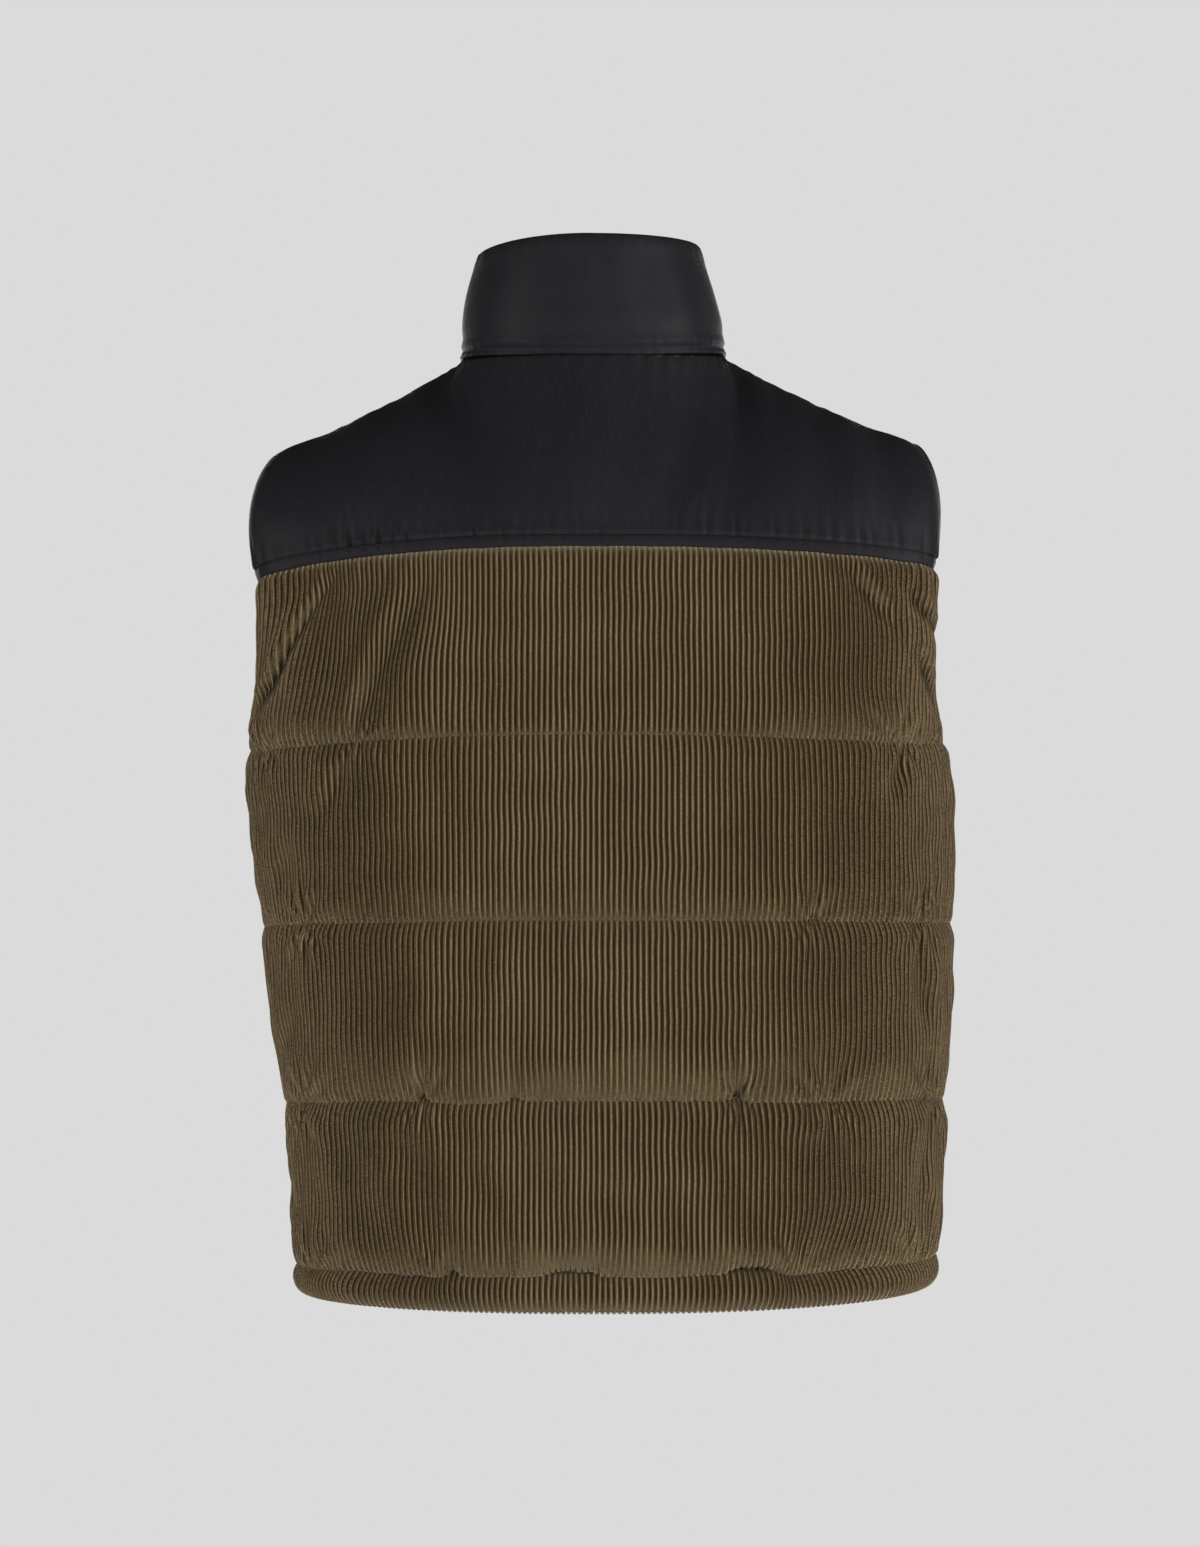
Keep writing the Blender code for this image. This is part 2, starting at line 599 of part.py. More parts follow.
def welded_copy(source):
    """A closed mesh of a curve object, which is then removed."""
    bpy.context.view_layer.update()
    graph = bpy.context.evaluated_depsgraph_get()
    mesh = bpy.data.meshes.new_from_object(source.evaluated_get(graph))
    work = bmesh.new()
    work.from_mesh(mesh)
    bmesh.ops.remove_doubles(work, verts=work.verts, dist=1e-6)
    bmesh.ops.recalc_face_normals(work, faces=work.faces)
    work.to_mesh(mesh)
    work.free()
    bpy.data.objects.remove(source)
    return mesh


def join_into(target, helpers):
    """Adds each helper object to the target with a Boolean union."""
    for helper in helpers:
        helper.hide_render = True
        helper.display_type = "WIRE"
        union = target.modifiers.new("join " + helper.name, "BOOLEAN")
        union.operation = "UNION"
        union.object = helper


def helper_object(name, mesh, frame):
    made = bpy.data.objects.new(name, mesh)
    bpy.data.collections["cutters"].objects.link(made)
    made.matrix_world = frame
    return made


def zip_slider(frame, outside):
    gap = outside - SLIDER_PLATE
    plate = (SLIDER_WIDTH, SLIDER_PLATE, SLIDER_LENGTH)
    middle = SEAM_GAP + POST_LENGTH - SLIDER_LENGTH / 2
    slider = add_object("zip_slider", block("slider", plate, (0, gap + SLIDER_PLATE / 2, middle)), "metal")
    slider.matrix_world = frame
    back = block("back plate", plate, (0, -gap - SLIDER_PLATE / 2, middle))
    post_size = (POST_WIDTH, 2 * gap + SLIDER_PLATE, POST_LENGTH)
    post = block("post", post_size, (0, 0, SEAM_GAP + POST_LENGTH / 2))
    wire = bpy.data.objects.new("bridge", bridge_curve(outside))
    bpy.data.collections["cutters"].objects.link(wire)
    bridge = welded_copy(wire)
    join_into(slider, [helper_object(mesh.name, mesh, frame) for mesh in (post, back, bridge)])


def pull_outline():
    """The pull tab as a flat outline with its eye, hanging below its pivot."""
    outline = bpy.data.curves.new("pull", "CURVE")
    outline.dimensions = "2D"
    outline.fill_mode = "BOTH"
    outline.extrude = PULL_THICKNESS / 2
    bar = PULL_THICKNESS / 2
    side = PULL_WIDTH / 2
    tip = PULL_TIP_WIDTH / 2
    eye = PULL_EYE_WIDTH / 2
    half = [(side - PULL_CORNER, bar), (side, bar - PULL_CORNER), (side, PULL_WAIST_START)]
    half += [(tip, PULL_WAIST_END), (tip, PULL_CORNER - PULL_LENGTH), (tip - PULL_CORNER, -PULL_LENGTH)]
    low = -bar - PULL_EYE_LENGTH
    hole = [(eye, -bar), (eye, low), (-eye, low), (-eye, -bar)]
    for ring in (half + [(-x, y) for x, y in reversed(half)], hole):
        spline = outline.splines.new("POLY")
        spline.points.add(len(ring) - 1)
        spline.use_cyclic_u = True
        for point, (x, y) in zip(spline.points, ring):
            point.co = (x, y, 0, 1)
    return outline


def zip_pull(frame, outside):
    """The pull tab, with its origin on the bar that turns inside the slider's bridge."""
    height = BRIDGE_START + BRIDGE_RADIUS + SEAM_GAP + PULL_THICKNESS / 2
    pivot = frame @ Vector((0, outside + PULL_LIFT + PULL_THICKNESS / 2, height))
    pull = add_object("zip_pull", pull_outline(), "metal")
    upright = Matrix.Rotation(math.pi / 2, 4, "X")
    pull.matrix_world = Matrix.Translation(pivot) @ frame.to_3x3().to_4x4() @ upright


def main():
    for old in list(bpy.data.objects):
        bpy.data.objects.remove(old)
    for name in ("vest", "cutters"):
        bpy.context.scene.collection.children.link(bpy.data.collections.new(name))
    body_panel("back_body", BACK, 0)
    hem_panel("hem_back", BACK, 0)
    yoke_panel("back_yoke", BACK, 0)
    for name, side in (("left", -1), ("right", 1)):
        body_panel("front_body_" + name, FRONT, side)
        hem_panel("hem_front_" + name, FRONT, side)
        yoke_panel("front_yoke_" + name, FRONT, side)
        zip_tape("zip_tape_" + name, side)
    collar_piece()
    frame = slider_frame()
    outside = TAPE_WALL / 2 + SLIDER_ROOM + SLIDER_PLATE
    zip_slider(frame, outside)
    zip_pull(frame, outside)


main()
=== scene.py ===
"""Quilted vest: sews fine cloth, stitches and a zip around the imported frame, in a plain studio.

Metres, +Z up. The back of the vest faces -Y and its front faces +Y. Every padded piece is a closed
shell: an inner sheet that follows the inside of the vest, and an outer one that stands off it as the
padding fills it. Distances called cloth run along a row of the inside from the middle of the face,
stations run from -1 at its left side to 1 at its right.
"""

import json
import math
from collections import namedtuple
from functools import partial

import bpy
import numpy as np
from bpy.props import FloatProperty, FloatVectorProperty, PointerProperty
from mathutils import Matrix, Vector


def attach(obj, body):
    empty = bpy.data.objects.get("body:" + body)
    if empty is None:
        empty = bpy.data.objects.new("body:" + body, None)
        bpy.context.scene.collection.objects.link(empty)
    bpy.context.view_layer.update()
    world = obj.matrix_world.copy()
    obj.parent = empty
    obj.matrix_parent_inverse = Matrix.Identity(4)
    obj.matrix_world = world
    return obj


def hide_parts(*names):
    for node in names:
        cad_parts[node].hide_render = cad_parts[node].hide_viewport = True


bl_info = {
    "name": "Quilted corduroy vest",
    "version": (1, 0, 0),
    "blender": (4, 5, 0),
    "location": "View3D > Sidebar > Vest",
    "description": "Sews the cloth, stitches and zip of a quilted vest around its frame",
    "category": "Object",
}

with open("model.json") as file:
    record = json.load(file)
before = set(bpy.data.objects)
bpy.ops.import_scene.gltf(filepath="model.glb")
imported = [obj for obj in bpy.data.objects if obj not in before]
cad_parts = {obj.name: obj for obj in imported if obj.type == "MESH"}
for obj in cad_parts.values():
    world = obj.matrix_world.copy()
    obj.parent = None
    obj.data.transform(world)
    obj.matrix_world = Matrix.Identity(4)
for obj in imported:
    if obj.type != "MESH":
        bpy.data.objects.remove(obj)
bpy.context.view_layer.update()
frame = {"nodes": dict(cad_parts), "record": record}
SLOT_COLOURS = {row["slot"]: row["base_color"] for row in frame["record"]["materials"]}

BACK, FRONT = -1, 1  # each face of the vest, by the sign of its Y

# ---------------------------------------------------------------- sizes of the construction
# A size with two values has one for the left side and one for the right.
SEAM_GAP = 0.00004
YOKE_SEAM_GAP = 0.0003
LEAST_WALL = 0.0012  # where the cloth is drawn in most
EDGE_WALL = 0.003
YOKE_CROWN = 0.0074
COLLAR_CROWN = 0.0080
COLLAR_RIM = 0.0068
HEM_CROWN = 0.0108
CROWN_POWER = 0.6
BODY_SIDE_FILL = 0.14
YOKE_SIDE_FILL = 0.45
HEM_SIDE_FILL = 0.30
COLLAR_END_FILL = 0.45
EDGE_POWER = 5
ZIP_EDGE_FILL = 0.10
ZIP_EDGE_STATIONS = 0.12
ARMHOLE_TOP = -0.0360
ARMHOLE_REACH = {BACK: 0.064, FRONT: 0.072}
NECK_WIDTH = (0.0850, 0.0840)
NECK_DEPTH = {BACK: 0.0760, FRONT: 0.0880}
NECK_MIDDLE = {BACK: 0.0220, FRONT: -0.0450}  # height in the middle of the face
NECK_SIDE = (0.0235, 0.0260)  # height at the shoulder seam
NECK_DROP_POWER = 1.5
NECK_STATION = 0.36
SHOULDER_TIP = (0.2085, 0.2125)
SHOULDER_TIP_HEIGHT = (-0.0390, -0.0330)
SHOULDER_SAG = 0.0040
COLLAR_SEAT = {BACK: 0.0012, FRONT: 0.0042}
COLLAR_SEAT_SIDE = 0.0036
COLLAR_TOP = {BACK: 0.1015, FRONT: 0.0520}
COLLAR_TOP_SIDE = (0.0945, 0.1005)
COLLAR_LEAN = 0.0020
COLLAR_DEPTH = {BACK: 0.35, FRONT: 0.25}
RIM_HEIGHT = 0.0008
RIM_ROLL = 0.0014
NECK_LAP = 0.0008
ZIP_HALF = 0.0100
ZIP_ANGLE = math.asin(ZIP_HALF / NECK_WIDTH[0])  # of the zip's edge on the neckline
TAPE_WALL = 0.0012
TAPE_ACROSS = (0.0, 0.02, 0.10, 0.20, 0.24, 0.35, 0.6, 0.9, 1.0)  # shares of its width from the middle
TAPE_RAISED = (0.5, 0.95, 1.1, 1.1, 0.75, 0.7, 0.7, 0.7, 0.5)  # and how thick it is there
TAPE_LIFT = 0.0009
TAPE_START = 0.0020
TAPE_END = 0.0100
SLIDER_LENGTH = 0.0120
SLIDER_COVER = 0.8  # of its length, over the teeth
TOOTH_SHIFT, HEAD_RADIUS, HEAD_DEPTH = 0.30, 0.62, 1.15  # of a tooth's width, height and thickness
TOOTH_SIDES = 12
STITCH_SEGMENTS, STITCH_RINGS = 6, 5
LINE_DROP_POWER = 2.4
SLOPE_STEP = 0.008
TOP_BLEND = 0.15  # stations over which the ribs' tops are evened out
NECK_BLEND, NECK_BLEND_REACH = 0.7, 0.16  # what the end of the neck adds to it, and within what
BLEND_SAMPLES = 7
PANEL_REACH = 0.32  # past the widest row of a face
SIDE_MARGIN = 0.0004  # of cloth that folds onto a side edge


def table(fields, *rows):
    """Rows whose values are read by name."""
    row_kind = namedtuple("Row", fields)
    return tuple(row_kind(*row) for row in rows)


SECTIONS = table(
    "height left right back front square",
    (-0.5970, 0.1930, 0.2220, 0.1190, 0.1220, 2.15),
    (-0.5700, 0.1940, 0.2235, 0.1215, 0.1245, 2.20),
    (-0.5250, 0.1950, 0.2250, 0.1240, 0.1270, 2.20),
    (-0.4580, 0.2020, 0.2285, 0.1265, 0.1300, 2.25),
    (-0.4000, 0.2090, 0.2315, 0.1285, 0.1320, 2.30),
    (-0.3430, 0.2155, 0.2325, 0.1295, 0.1330, 2.30),
    (-0.2850, 0.2215, 0.2330, 0.1300, 0.1330, 2.35),
    (-0.2370, 0.2235, 0.2290, 0.1290, 0.1320, 2.40),
    (-0.2100, 0.2180, 0.2200, 0.1278, 0.1308, 2.45),
    (-0.1800, 0.2155, 0.2180, 0.1255, 0.1285, 2.50),
    (-0.1450, 0.2150, 0.2185, 0.1215, 0.1245, 2.50),
    (-0.1050, 0.2180, 0.2190, 0.1150, 0.1170, 2.50),
    (-0.0700, 0.2195, 0.2180, 0.1070, 0.1080, 2.50),
)

# Heights of the hem seam, three quilting lines and the yoke seam, from the bottom up.
LINE = "middle left right"
LINES = {
    BACK: table(
        LINE,
        (-0.5700, -0.5760, -0.5680),
        (-0.4580, -0.4690, -0.4660),
        (-0.3430, -0.3515, -0.3490),
        (-0.2250, -0.2360, -0.2310),
        (-0.1040, -0.1240, -0.1160),
    ),
    FRONT: table(
        LINE,
        (-0.5700, -0.5760, -0.5680),
        (-0.4600, -0.4690, -0.4660),
        (-0.3450, -0.3515, -0.3490),
        (-0.2290, -0.2360, -0.2310),
        (-0.1240, -0.1290, -0.1270),
    ),
}
UNDERARM = LINES[BACK][3]
HEM_BOTTOM = table(LINE, (-0.5953, -0.5930, -0.5868))[0]

RIB = "station lift reach inward forward up swell"
RIBS = {
    BACK: table(
        RIB,
        (0.00, 0.045, 0.045, 0.00, 0.30, 0.95, 0.000),
        (0.20, 0.045, 0.040, 0.25, 0.45, 0.86, 0.000),
        (0.36, 0.050, 0.045, 0.35, 0.68, 0.62, 0.000),
        (0.50, 0.055, 0.055, 0.12, 0.95, 0.28, 0.000),
        (0.80, 0.055, 0.055, 0.00, 0.99, 0.14, 0.003),
        (1.00, 0.045, 0.040, 0.30, 0.94, 0.15, 0.010),
    ),
    FRONT: table(
        RIB,
        (0.00, 0.025, 0.022, 0.00, 0.40, 0.92, 0.000),
        (0.20, 0.030, 0.030, 0.30, 0.45, 0.84, 0.000),
        (0.36, 0.045, 0.045, 0.40, 0.68, 0.60, 0.000),
        (0.50, 0.055, 0.055, 0.12, 0.95, 0.28, 0.000),
        (0.80, 0.055, 0.055, 0.00, 0.99, 0.12, 0.003),
        (1.00, 0.045, 0.040, 0.30, 0.94, 0.15, 0.010),
    ),
}

COLLAR_ROWS = table(
    "share left right fill",
    (0.00, 1.000, 1.000, 0.33),
    (0.22, 0.945, 0.940, 0.95),
    (0.50, 0.905, 0.875, 1.00),
    (0.80, 0.830, 0.795, 1.00),
    (0.94, 0.795, 0.765, 0.98),
    (1.00, 0.780, 0.750, 0.92),
)

# ---------------------------------------------------------------- how the padding fills the cloth
# Crown of each baffle from the bottom up, in the middle and at the sides of a face.
BAFFLES = ((0.0120, 0.0105), (0.0120, 0.0100), (0.0100, 0.0095), (0.0085, 0.0070))

# How each line from the hem seam up draws the cloth in: the wall left in the middle and at the
# sides, how far above and below the pull is felt, and how far the cloth above sags over it.
PULLS = table(
    "middle side above below sag",
    (0.0016, 0.0020, 0.024, 0.010, 0.0030),
    (0.0022, 0.0020, 0.038, 0.018, 0.0024),
    (0.0044, 0.0024, 0.028, 0.015, 0.0024),
    (0.0058, 0.0024, 0.018, 0.013, 0.0012),
    (0.0030, 0.0024, 0.010, 0.012, 0.0000),
)
SAG_HEIGHT = 0.0032  # above a line, where the cloth sags most
SIDE_POWER = 1.6  # how late a size turns from its middle value to its side value
GAP_START, GAP_SHARE = 0.0010, 0.65  # of a place where the cloth is drawn up
LINE_REACH = 0.010  # of the gathers beside a line
GATHER, GATHER_SIDE = 0.0005, 0.0011  # in the middle of a line, and what its ends add
DRAW, DRAW_SIDE, DRAW_REACH = 0.0004, 0.0012, 0.011  # of the wales that a line draws together
SIDE_LOOSE = (0.0011, 0.0011, 0.0011, 0.0006)  # wrinkles at the ends of each baffle
SIDE_START, SIDE_SPAN, SIDE_LOOSE_POWER = 0.55, 0.45, 1.5
SWELL_GAIN = 2  # of a bulge's swell
SIDE_SAG_LOSS = 0.5  # of the sag, at the sides
HEM_ENDS, HEM_POWERS = (0.004, 0.985), (0.55, 0.95)  # of the tube's lower and upper half
HEM_WAVE_DRIFT = 0.02

# Places where the cloth above a line sags further over it, or is drawn up and leaves a gap.
BULGE = "line cloth half_width sag swell"
BULGES = {
    BACK: table(
        BULGE,
        (0, -0.160, 0.026, -0.0016, 0.0000),
        (0, -0.104, 0.010, 0.0012, 0.0010),
        (0, -0.093, 0.005, -0.0040, 0.0004),
        (0, -0.070, 0.014, 0.0006, 0.0010),
        (0, -0.046, 0.006, 0.0006, 0.0012),
        (0, -0.014, 0.018, -0.0054, 0.0030),
        (0, 0.032, 0.018, 0.0006, 0.0010),
        (0, 0.070, 0.008, -0.0014, 0.0018),
        (0, 0.099, 0.017, -0.0062, 0.0034),
        (0, 0.130, 0.010, 0.0012, 0.0016),
        (0, 0.175, 0.024, -0.0016, 0.0008),
        (1, -0.150, 0.016, -0.0012, -0.0006),
        (1, -0.1115, 0.0035, -0.0070, -0.0022),
        (1, -0.083, 0.022, 0.0024, 0.0014),
        (1, -0.0500, 0.0040, -0.0040, -0.0008),
        (1, 0.0895, 0.0040, -0.0090, -0.0022),
        (1, 0.0980, 0.0050, 0.0020, 0.0018),
        (1, 0.130, 0.022, 0.0016, 0.0010),
        (2, 0.1390, 0.0040, -0.0050, -0.0014),
        (2, -0.120, 0.020, 0.0008, 0.0004),
    ),
    FRONT: table(
        BULGE,
        (0, -0.120, 0.010, 0.0024, 0.0012),
        (0, -0.070, 0.014, -0.0036, 0.0006),
        (0, 0.060, 0.012, -0.0030, 0.0006),
        (0, 0.105, 0.012, 0.0026, 0.0012),
        (1, -0.090, 0.005, -0.0050, -0.0010),
        (1, 0.130, 0.005, -0.0060, -0.0010),
        (2, -0.140, 0.006, -0.0030, -0.0006),
    ),
}

# Points where a line's stitching pinches the cloth: folds fan out of them as far as their reach,
# and the wales beside them are drawn towards them by a share of their distance.
PINCH = "line cloth reach depth draw"
PINCHES = {
    BACK: table(
        PINCH,
        (0, -0.198, 0.016, 0.0012, 0.30),
        (0, -0.104, 0.009, 0.0008, 0.25),
        (0, 0.126, 0.013, 0.0007, 0.26),
        (0, 0.214, 0.016, 0.0008, 0.25),
        (1, -0.206, 0.017, 0.0013, 0.34),
        (1, -0.112, 0.011, 0.0008, 0.26),
        (1, 0.090, 0.009, 0.0008, 0.25),
        (1, 0.147, 0.014, 0.0010, 0.32),
        (1, 0.232, 0.015, 0.0010, 0.26),
        (2, -0.196, 0.014, 0.0012, 0.30),
        (2, 0.137, 0.011, 0.0006, 0.20),
        (2, 0.222, 0.015, 0.0010, 0.26),
        (3, -0.152, 0.012, 0.0007, 0.24),
        (3, -0.232, 0.014, 0.0012, 0.30),
        (3, 0.200, 0.015, 0.0009, 0.24),
    ),
    FRONT: table(
        PINCH,
        (0, -0.180, 0.015, 0.0014, 0.36),
        (0, 0.165, 0.015, 0.0014, 0.36),
        (1, -0.160, 0.015, 0.0014, 0.38),
        (1, -0.230, 0.015, 0.0013, 0.32),
        (1, 0.130, 0.013, 0.0012, 0.38),
        (1, 0.214, 0.015, 0.0014, 0.34),
        (2, -0.140, 0.013, 0.0010, 0.30),
        (2, 0.190, 0.014, 0.0012, 0.34),
        (3, -0.190, 0.014, 0.0012, 0.34),
        (3, 0.168, 0.014, 0.0012, 0.34),
    ),
}
PINCH_FOLDS = 9  # around each point
PINCH_TURN, PINCH_UNEVEN = 1.7, 1.2  # angles by which each point's folds differ from the last one's
PINCH_END, PINCH_DRAW_END = 2.4, 1.6  # reaches at which its folds and its draw on the wales end

# Creases pressed into the cloth: their routes as (cloth, height), half width, depth, and how far
# the cloth beside them rolls out, on the right where a route runs down and on the left where it
# runs up.
CREASE = "route half_width depth lip"
CREASES = {
    BACK: table(
        CREASE,
        (((-0.246, -0.216), (-0.212, -0.190), (-0.188, -0.156), (-0.160, -0.118)), 0.0046, 0.0042, 0.0020),
        (((-0.149, -0.226), (-0.141, -0.196), (-0.127, -0.166), (-0.100, -0.114)), 0.0080, 0.0030, 0.0022),
        (((-0.181, -0.286), (-0.167, -0.262), (-0.158, -0.238)), 0.0080, 0.0028, 0.0014),
        (((-0.216, -0.330), (-0.206, -0.292)), 0.0100, 0.0026, 0.0020),
        (((-0.236, -0.445), (-0.214, -0.420), (-0.206, -0.380)), 0.0090, 0.0026, 0.0022),
        (((0.152, -0.110), (0.176, -0.138), (0.191, -0.153)), 0.0065, 0.0044, 0.0024),
        (((0.196, -0.130), (0.221, -0.148), (0.246, -0.166)), 0.0050, 0.0030, 0.0010),
        (((0.204, -0.166), (0.222, -0.184), (0.240, -0.206)), 0.0055, 0.0028, 0.0012),
        (((0.204, -0.238), (0.190, -0.263)), 0.0080, 0.0034, 0.0020),
        (((0.222, -0.352), (0.216, -0.384), (0.226, -0.420)), 0.0090, 0.0030, 0.0022),
        (((0.232, -0.482), (0.222, -0.520), (0.228, -0.552)), 0.0090, 0.0028, 0.0022),
    ),
    FRONT: table(
        CREASE,
        (((-0.246, -0.216), (-0.212, -0.192), (-0.190, -0.160), (-0.166, -0.134)), 0.0065, 0.0054, 0.0030),
        (((-0.152, -0.226), (-0.140, -0.190), (-0.112, -0.136)), 0.0080, 0.0034, 0.0024),
        (((0.168, -0.134), (0.192, -0.160), (0.214, -0.188), (0.246, -0.214)), 0.0065, 0.0054, 0.0030),
        (((0.206, -0.240), (0.190, -0.272)), 0.0080, 0.0034, 0.0020),
        (((-0.222, -0.352), (-0.212, -0.390), (-0.224, -0.426)), 0.0090, 0.0028, 0.0022),
    ),
}

CREASE_ENDS, CREASE_TAPER = (0.02, 0.98), 0.7  # how its ends run out
LIP_PLACE = 1.7  # half widths beside the crease

# Where pulled cloth shifts its wales sideways: place as (cloth, height), reach each way, shift.
DRIFT = "cloth height wide tall shift"
DRIFTS = {
    BACK: table(
        DRIFT,
        (-0.205, -0.135, 0.046, 0.050, 0.0200),
        (-0.128, -0.122, 0.034, 0.042, 0.0070),
        (0.205, -0.135, 0.050, 0.060, -0.0080),
        (0.175, -0.566, 0.050, 0.024, -0.0100),
        (-0.150, -0.566, 0.040, 0.022, 0.0050),
        (-0.170, -0.190, 0.034, 0.024, 0.0050),
        (-0.118, -0.188, 0.020, 0.026, -0.0022),
        (0.196, -0.196, 0.032, 0.024, -0.0040),
        (0.150, -0.150, 0.024, 0.026, 0.0016),
        (-0.112, -0.4520, 0.010, 0.006, 0.0020),
        (0.084, -0.4520, 0.008, 0.005, 0.0014),
        (0.098, -0.4520, 0.008, 0.005, -0.0018),
    ),
    FRONT: table(
        DRIFT,
        (-0.205, -0.140, 0.046, 0.048, 0.0160),
        (0.205, -0.140, 0.046, 0.048, -0.0180),
        (0.160, -0.566, 0.050, 0.024, -0.0080),
        (-0.170, -0.190, 0.034, 0.024, 0.0044),
        (0.180, -0.192, 0.034, 0.024, -0.0044),
    ),
}

# Rows of a folded edge: distance above the seam, how far the fold hangs below that row, and the
# wall. The stitch line is the row where the wall dips.
EDGE = "rise drop wall"
YOKE_EDGE = table(
    EDGE,
    (0.0000, 0.0004, 0.0034),
    (0.0003, 0.0015, 0.0036),
    (0.0006, 0.0021, 0.0039),
    (0.0010, 0.0020, 0.0043),
    (0.0016, 0.0014, 0.0046),
    (0.0026, 0.0008, 0.0047),
    (0.0038, 0.0004, 0.0048),
    (0.0048, 0.0001, 0.0047),
    (0.0056, 0.0000, 0.0045),
    (0.0063, 0.0000, 0.0043),
    (0.0070, 0.0000, 0.0046),
    (0.0080, 0.0000, 0.0050),
    (0.0094, 0.0000, 0.0053),
)
YOKE_STITCH_ROW = 9
YOKE_FOLD_ROWS = 5
COLLAR_EDGE = table(
    EDGE,
    (0.0000, 0.0009, 0.0030),
    (0.0003, 0.0013, 0.0033),
    (0.0006, 0.0014, 0.0036),
    (0.0011, 0.0011, 0.0039),
    (0.0018, 0.0006, 0.0040),
    (0.0026, 0.0002, 0.0039),
    (0.0034, 0.0000, 0.0043),
    (0.0044, 0.0000, 0.0049),
)
COLLAR_STITCH_ROW = 5

COLLAR_GAP_AT, COLLAR_GAP_HALF = -0.010, 0.030  # where the fold stands open
COLLAR_GAP_WALL, COLLAR_GAP_DROP = 0.0006, 0.6
COLLAR_SIDE_START, COLLAR_SIDE_SPAN = 0.060, 0.040
COLLAR_SIDE_BASE, COLLAR_SIDE_HOLLOW = (0.0010, 0.0030), (0.0012, 0.028)  # size, and within what
COLLAR_SIDE_CALM = 0.6  # of the puckers' height
COLLAR_PUCKER_REACH = 0.008
COLLAR_END_SLOPE = 12  # of the wall from each end
RIM_GROOVE, RIM_GROOVE_AT, RIM_GROOVE_REACH = 0.0007, 0.0030, 0.0008
RIM_TOP = 0.08  # of the rim's wall, at the very top
RIM_PUCKER_REACH, RIM_CALM = 0.006, 0.001

# Puckers of the yoke: at its stitch line, along its neck and along its shoulders.
PUCKER_ABOVE, PUCKER_BELOW = 0.013, 0.004
PUCKER_FOLD = 0.6  # how high they are on the fold
PUCKER_MEAN, PUCKER_PEAK, PUCKER_PEAK_AT, PUCKER_PEAK_HALF = 0.8, 0.5, -0.13, 0.07
STITCH_CALM = 0.0012  # beside a stitch line
TOP_CALM = 0.001
NECK_PUCKER_REACH, NECK_PUCKER_HALF = 0.007, 0.110
SHOULDER_PUCKER_REACH, SHOULDER_SPAN = 0.011, 0.05
YOKE_SLACK_EDGE, COLLAR_SLACK_EDGE = 0.03, 0.02  # free of slack
YOKE_BLEND, COLLAR_BLEND = 0.012, 0.010  # from a folded edge to the padding

# How walls turn into the pile's painted sheen, its painted seam shade and its relief.
OPEN_WALL, OPEN_SPAN = 0.0025, 0.0035
# Painted shade: the pile is painted darker where a seam draws its wall thin
SEAM_SHADE_WALL, SEAM_SHADE_SPAN, SEAM_SHADE_MOST = 0.0036, 0.0016, 0.9
FOLD_COVER, FOLD_PRESS, PRESSED_LEAST = 0.0012, 0.004, 0.1  # of the yoke's fold on the wales
EDGE_RELIEF = 0.4  # of the wales where they fold onto a side edge
# Share of the painted sheen, paler where the cloth faces down, that the hem tube gets
HEM_PAINTED_SHEEN = 0.35

# Uneven waves of the cloth: height (1 where it varies from place to place), length and seed.
Wave = namedtuple("Wave", "height length seed")
WAVE_SINES, WAVE_SUM = 4, 2.4
WAVE_LENGTHS, WAVE_DRIFTS = (0.7, 1.5), (-0.5, 0.5)
SWELL_ACROSS = Wave(0.0007, 0.055, 11)
SWELL_UP = Wave(0.0004, 0.040, 21)
SIDE_WRINKLES = Wave(1, 0.017, 27)
GATHERS_ABOVE = Wave(1, 0.011, 31)
GATHERS_BELOW = Wave(0.8, 0.010, 41)
SAG_WAVES = Wave(0.0006, 0.017, 51)
HEM_WAVES = Wave(0.0005, 0.030, 61)
WALE_WANDER = Wave(0.00022, 0.045, 71)
SEAM_DRIFT = Wave(1, 0.021, 73)
YOKE_PUCKERS = Wave(1, 0.0085, 81)
YOKE_UNEVEN = Wave(0.4, 0.090, 83)
YOKE_FOLD = Wave(0.0003, 0.028, 84)
YOKE_SLACK = Wave(0.0010, 0.050, 85)
NECK_PUCKERS = Wave(0.9, 0.008, 87)
SHOULDER_PUCKERS = Wave(0.4, 0.017, 89)
COLLAR_PUCKERS = Wave(0.35, 0.009, 91)
RIM_PUCKERS = Wave(0.4, 0.011, 93)
COLLAR_SLACK = Wave(0.0007, 0.055, 95)
COLLAR_GAP = Wave(0.25, 0.030, 97)

# ---------------------------------------------------------------- how finely pieces are divided
WALE_PHASES = (0.11, 0.19, 0.50, 0.81, 0.89)
WALE_RELIEF = (0.0, 0.82, 1.0, 0.82, 0.0)
WALE_GAP = 0.1  # of a wale between the zip's edge and the next column
ROWS_BAFFLE = 28
ROWS_HEM = 24
ROWS_YOKE = 46
ROWS_COLLAR = 34
ROWS_RIM = 7
COLUMNS_YOKE = 120
COLUMNS_COLLAR_QUARTER = 60
COLUMNS_INSIDE = 26
SAMPLES_ARC = 240
SAMPLES_ROW = 13
SAMPLES_RIB = 61
SAMPLES_COLLAR = 41
SAMPLES_TAPE = 260
SAMPLES_ZIP = (60, 12, 14)  # along the body, the yoke and the collar
SOFTEN_REACH = 9  # columns
INSIDE_STEP = 5  # columns of a yoke's outside for each of its inside


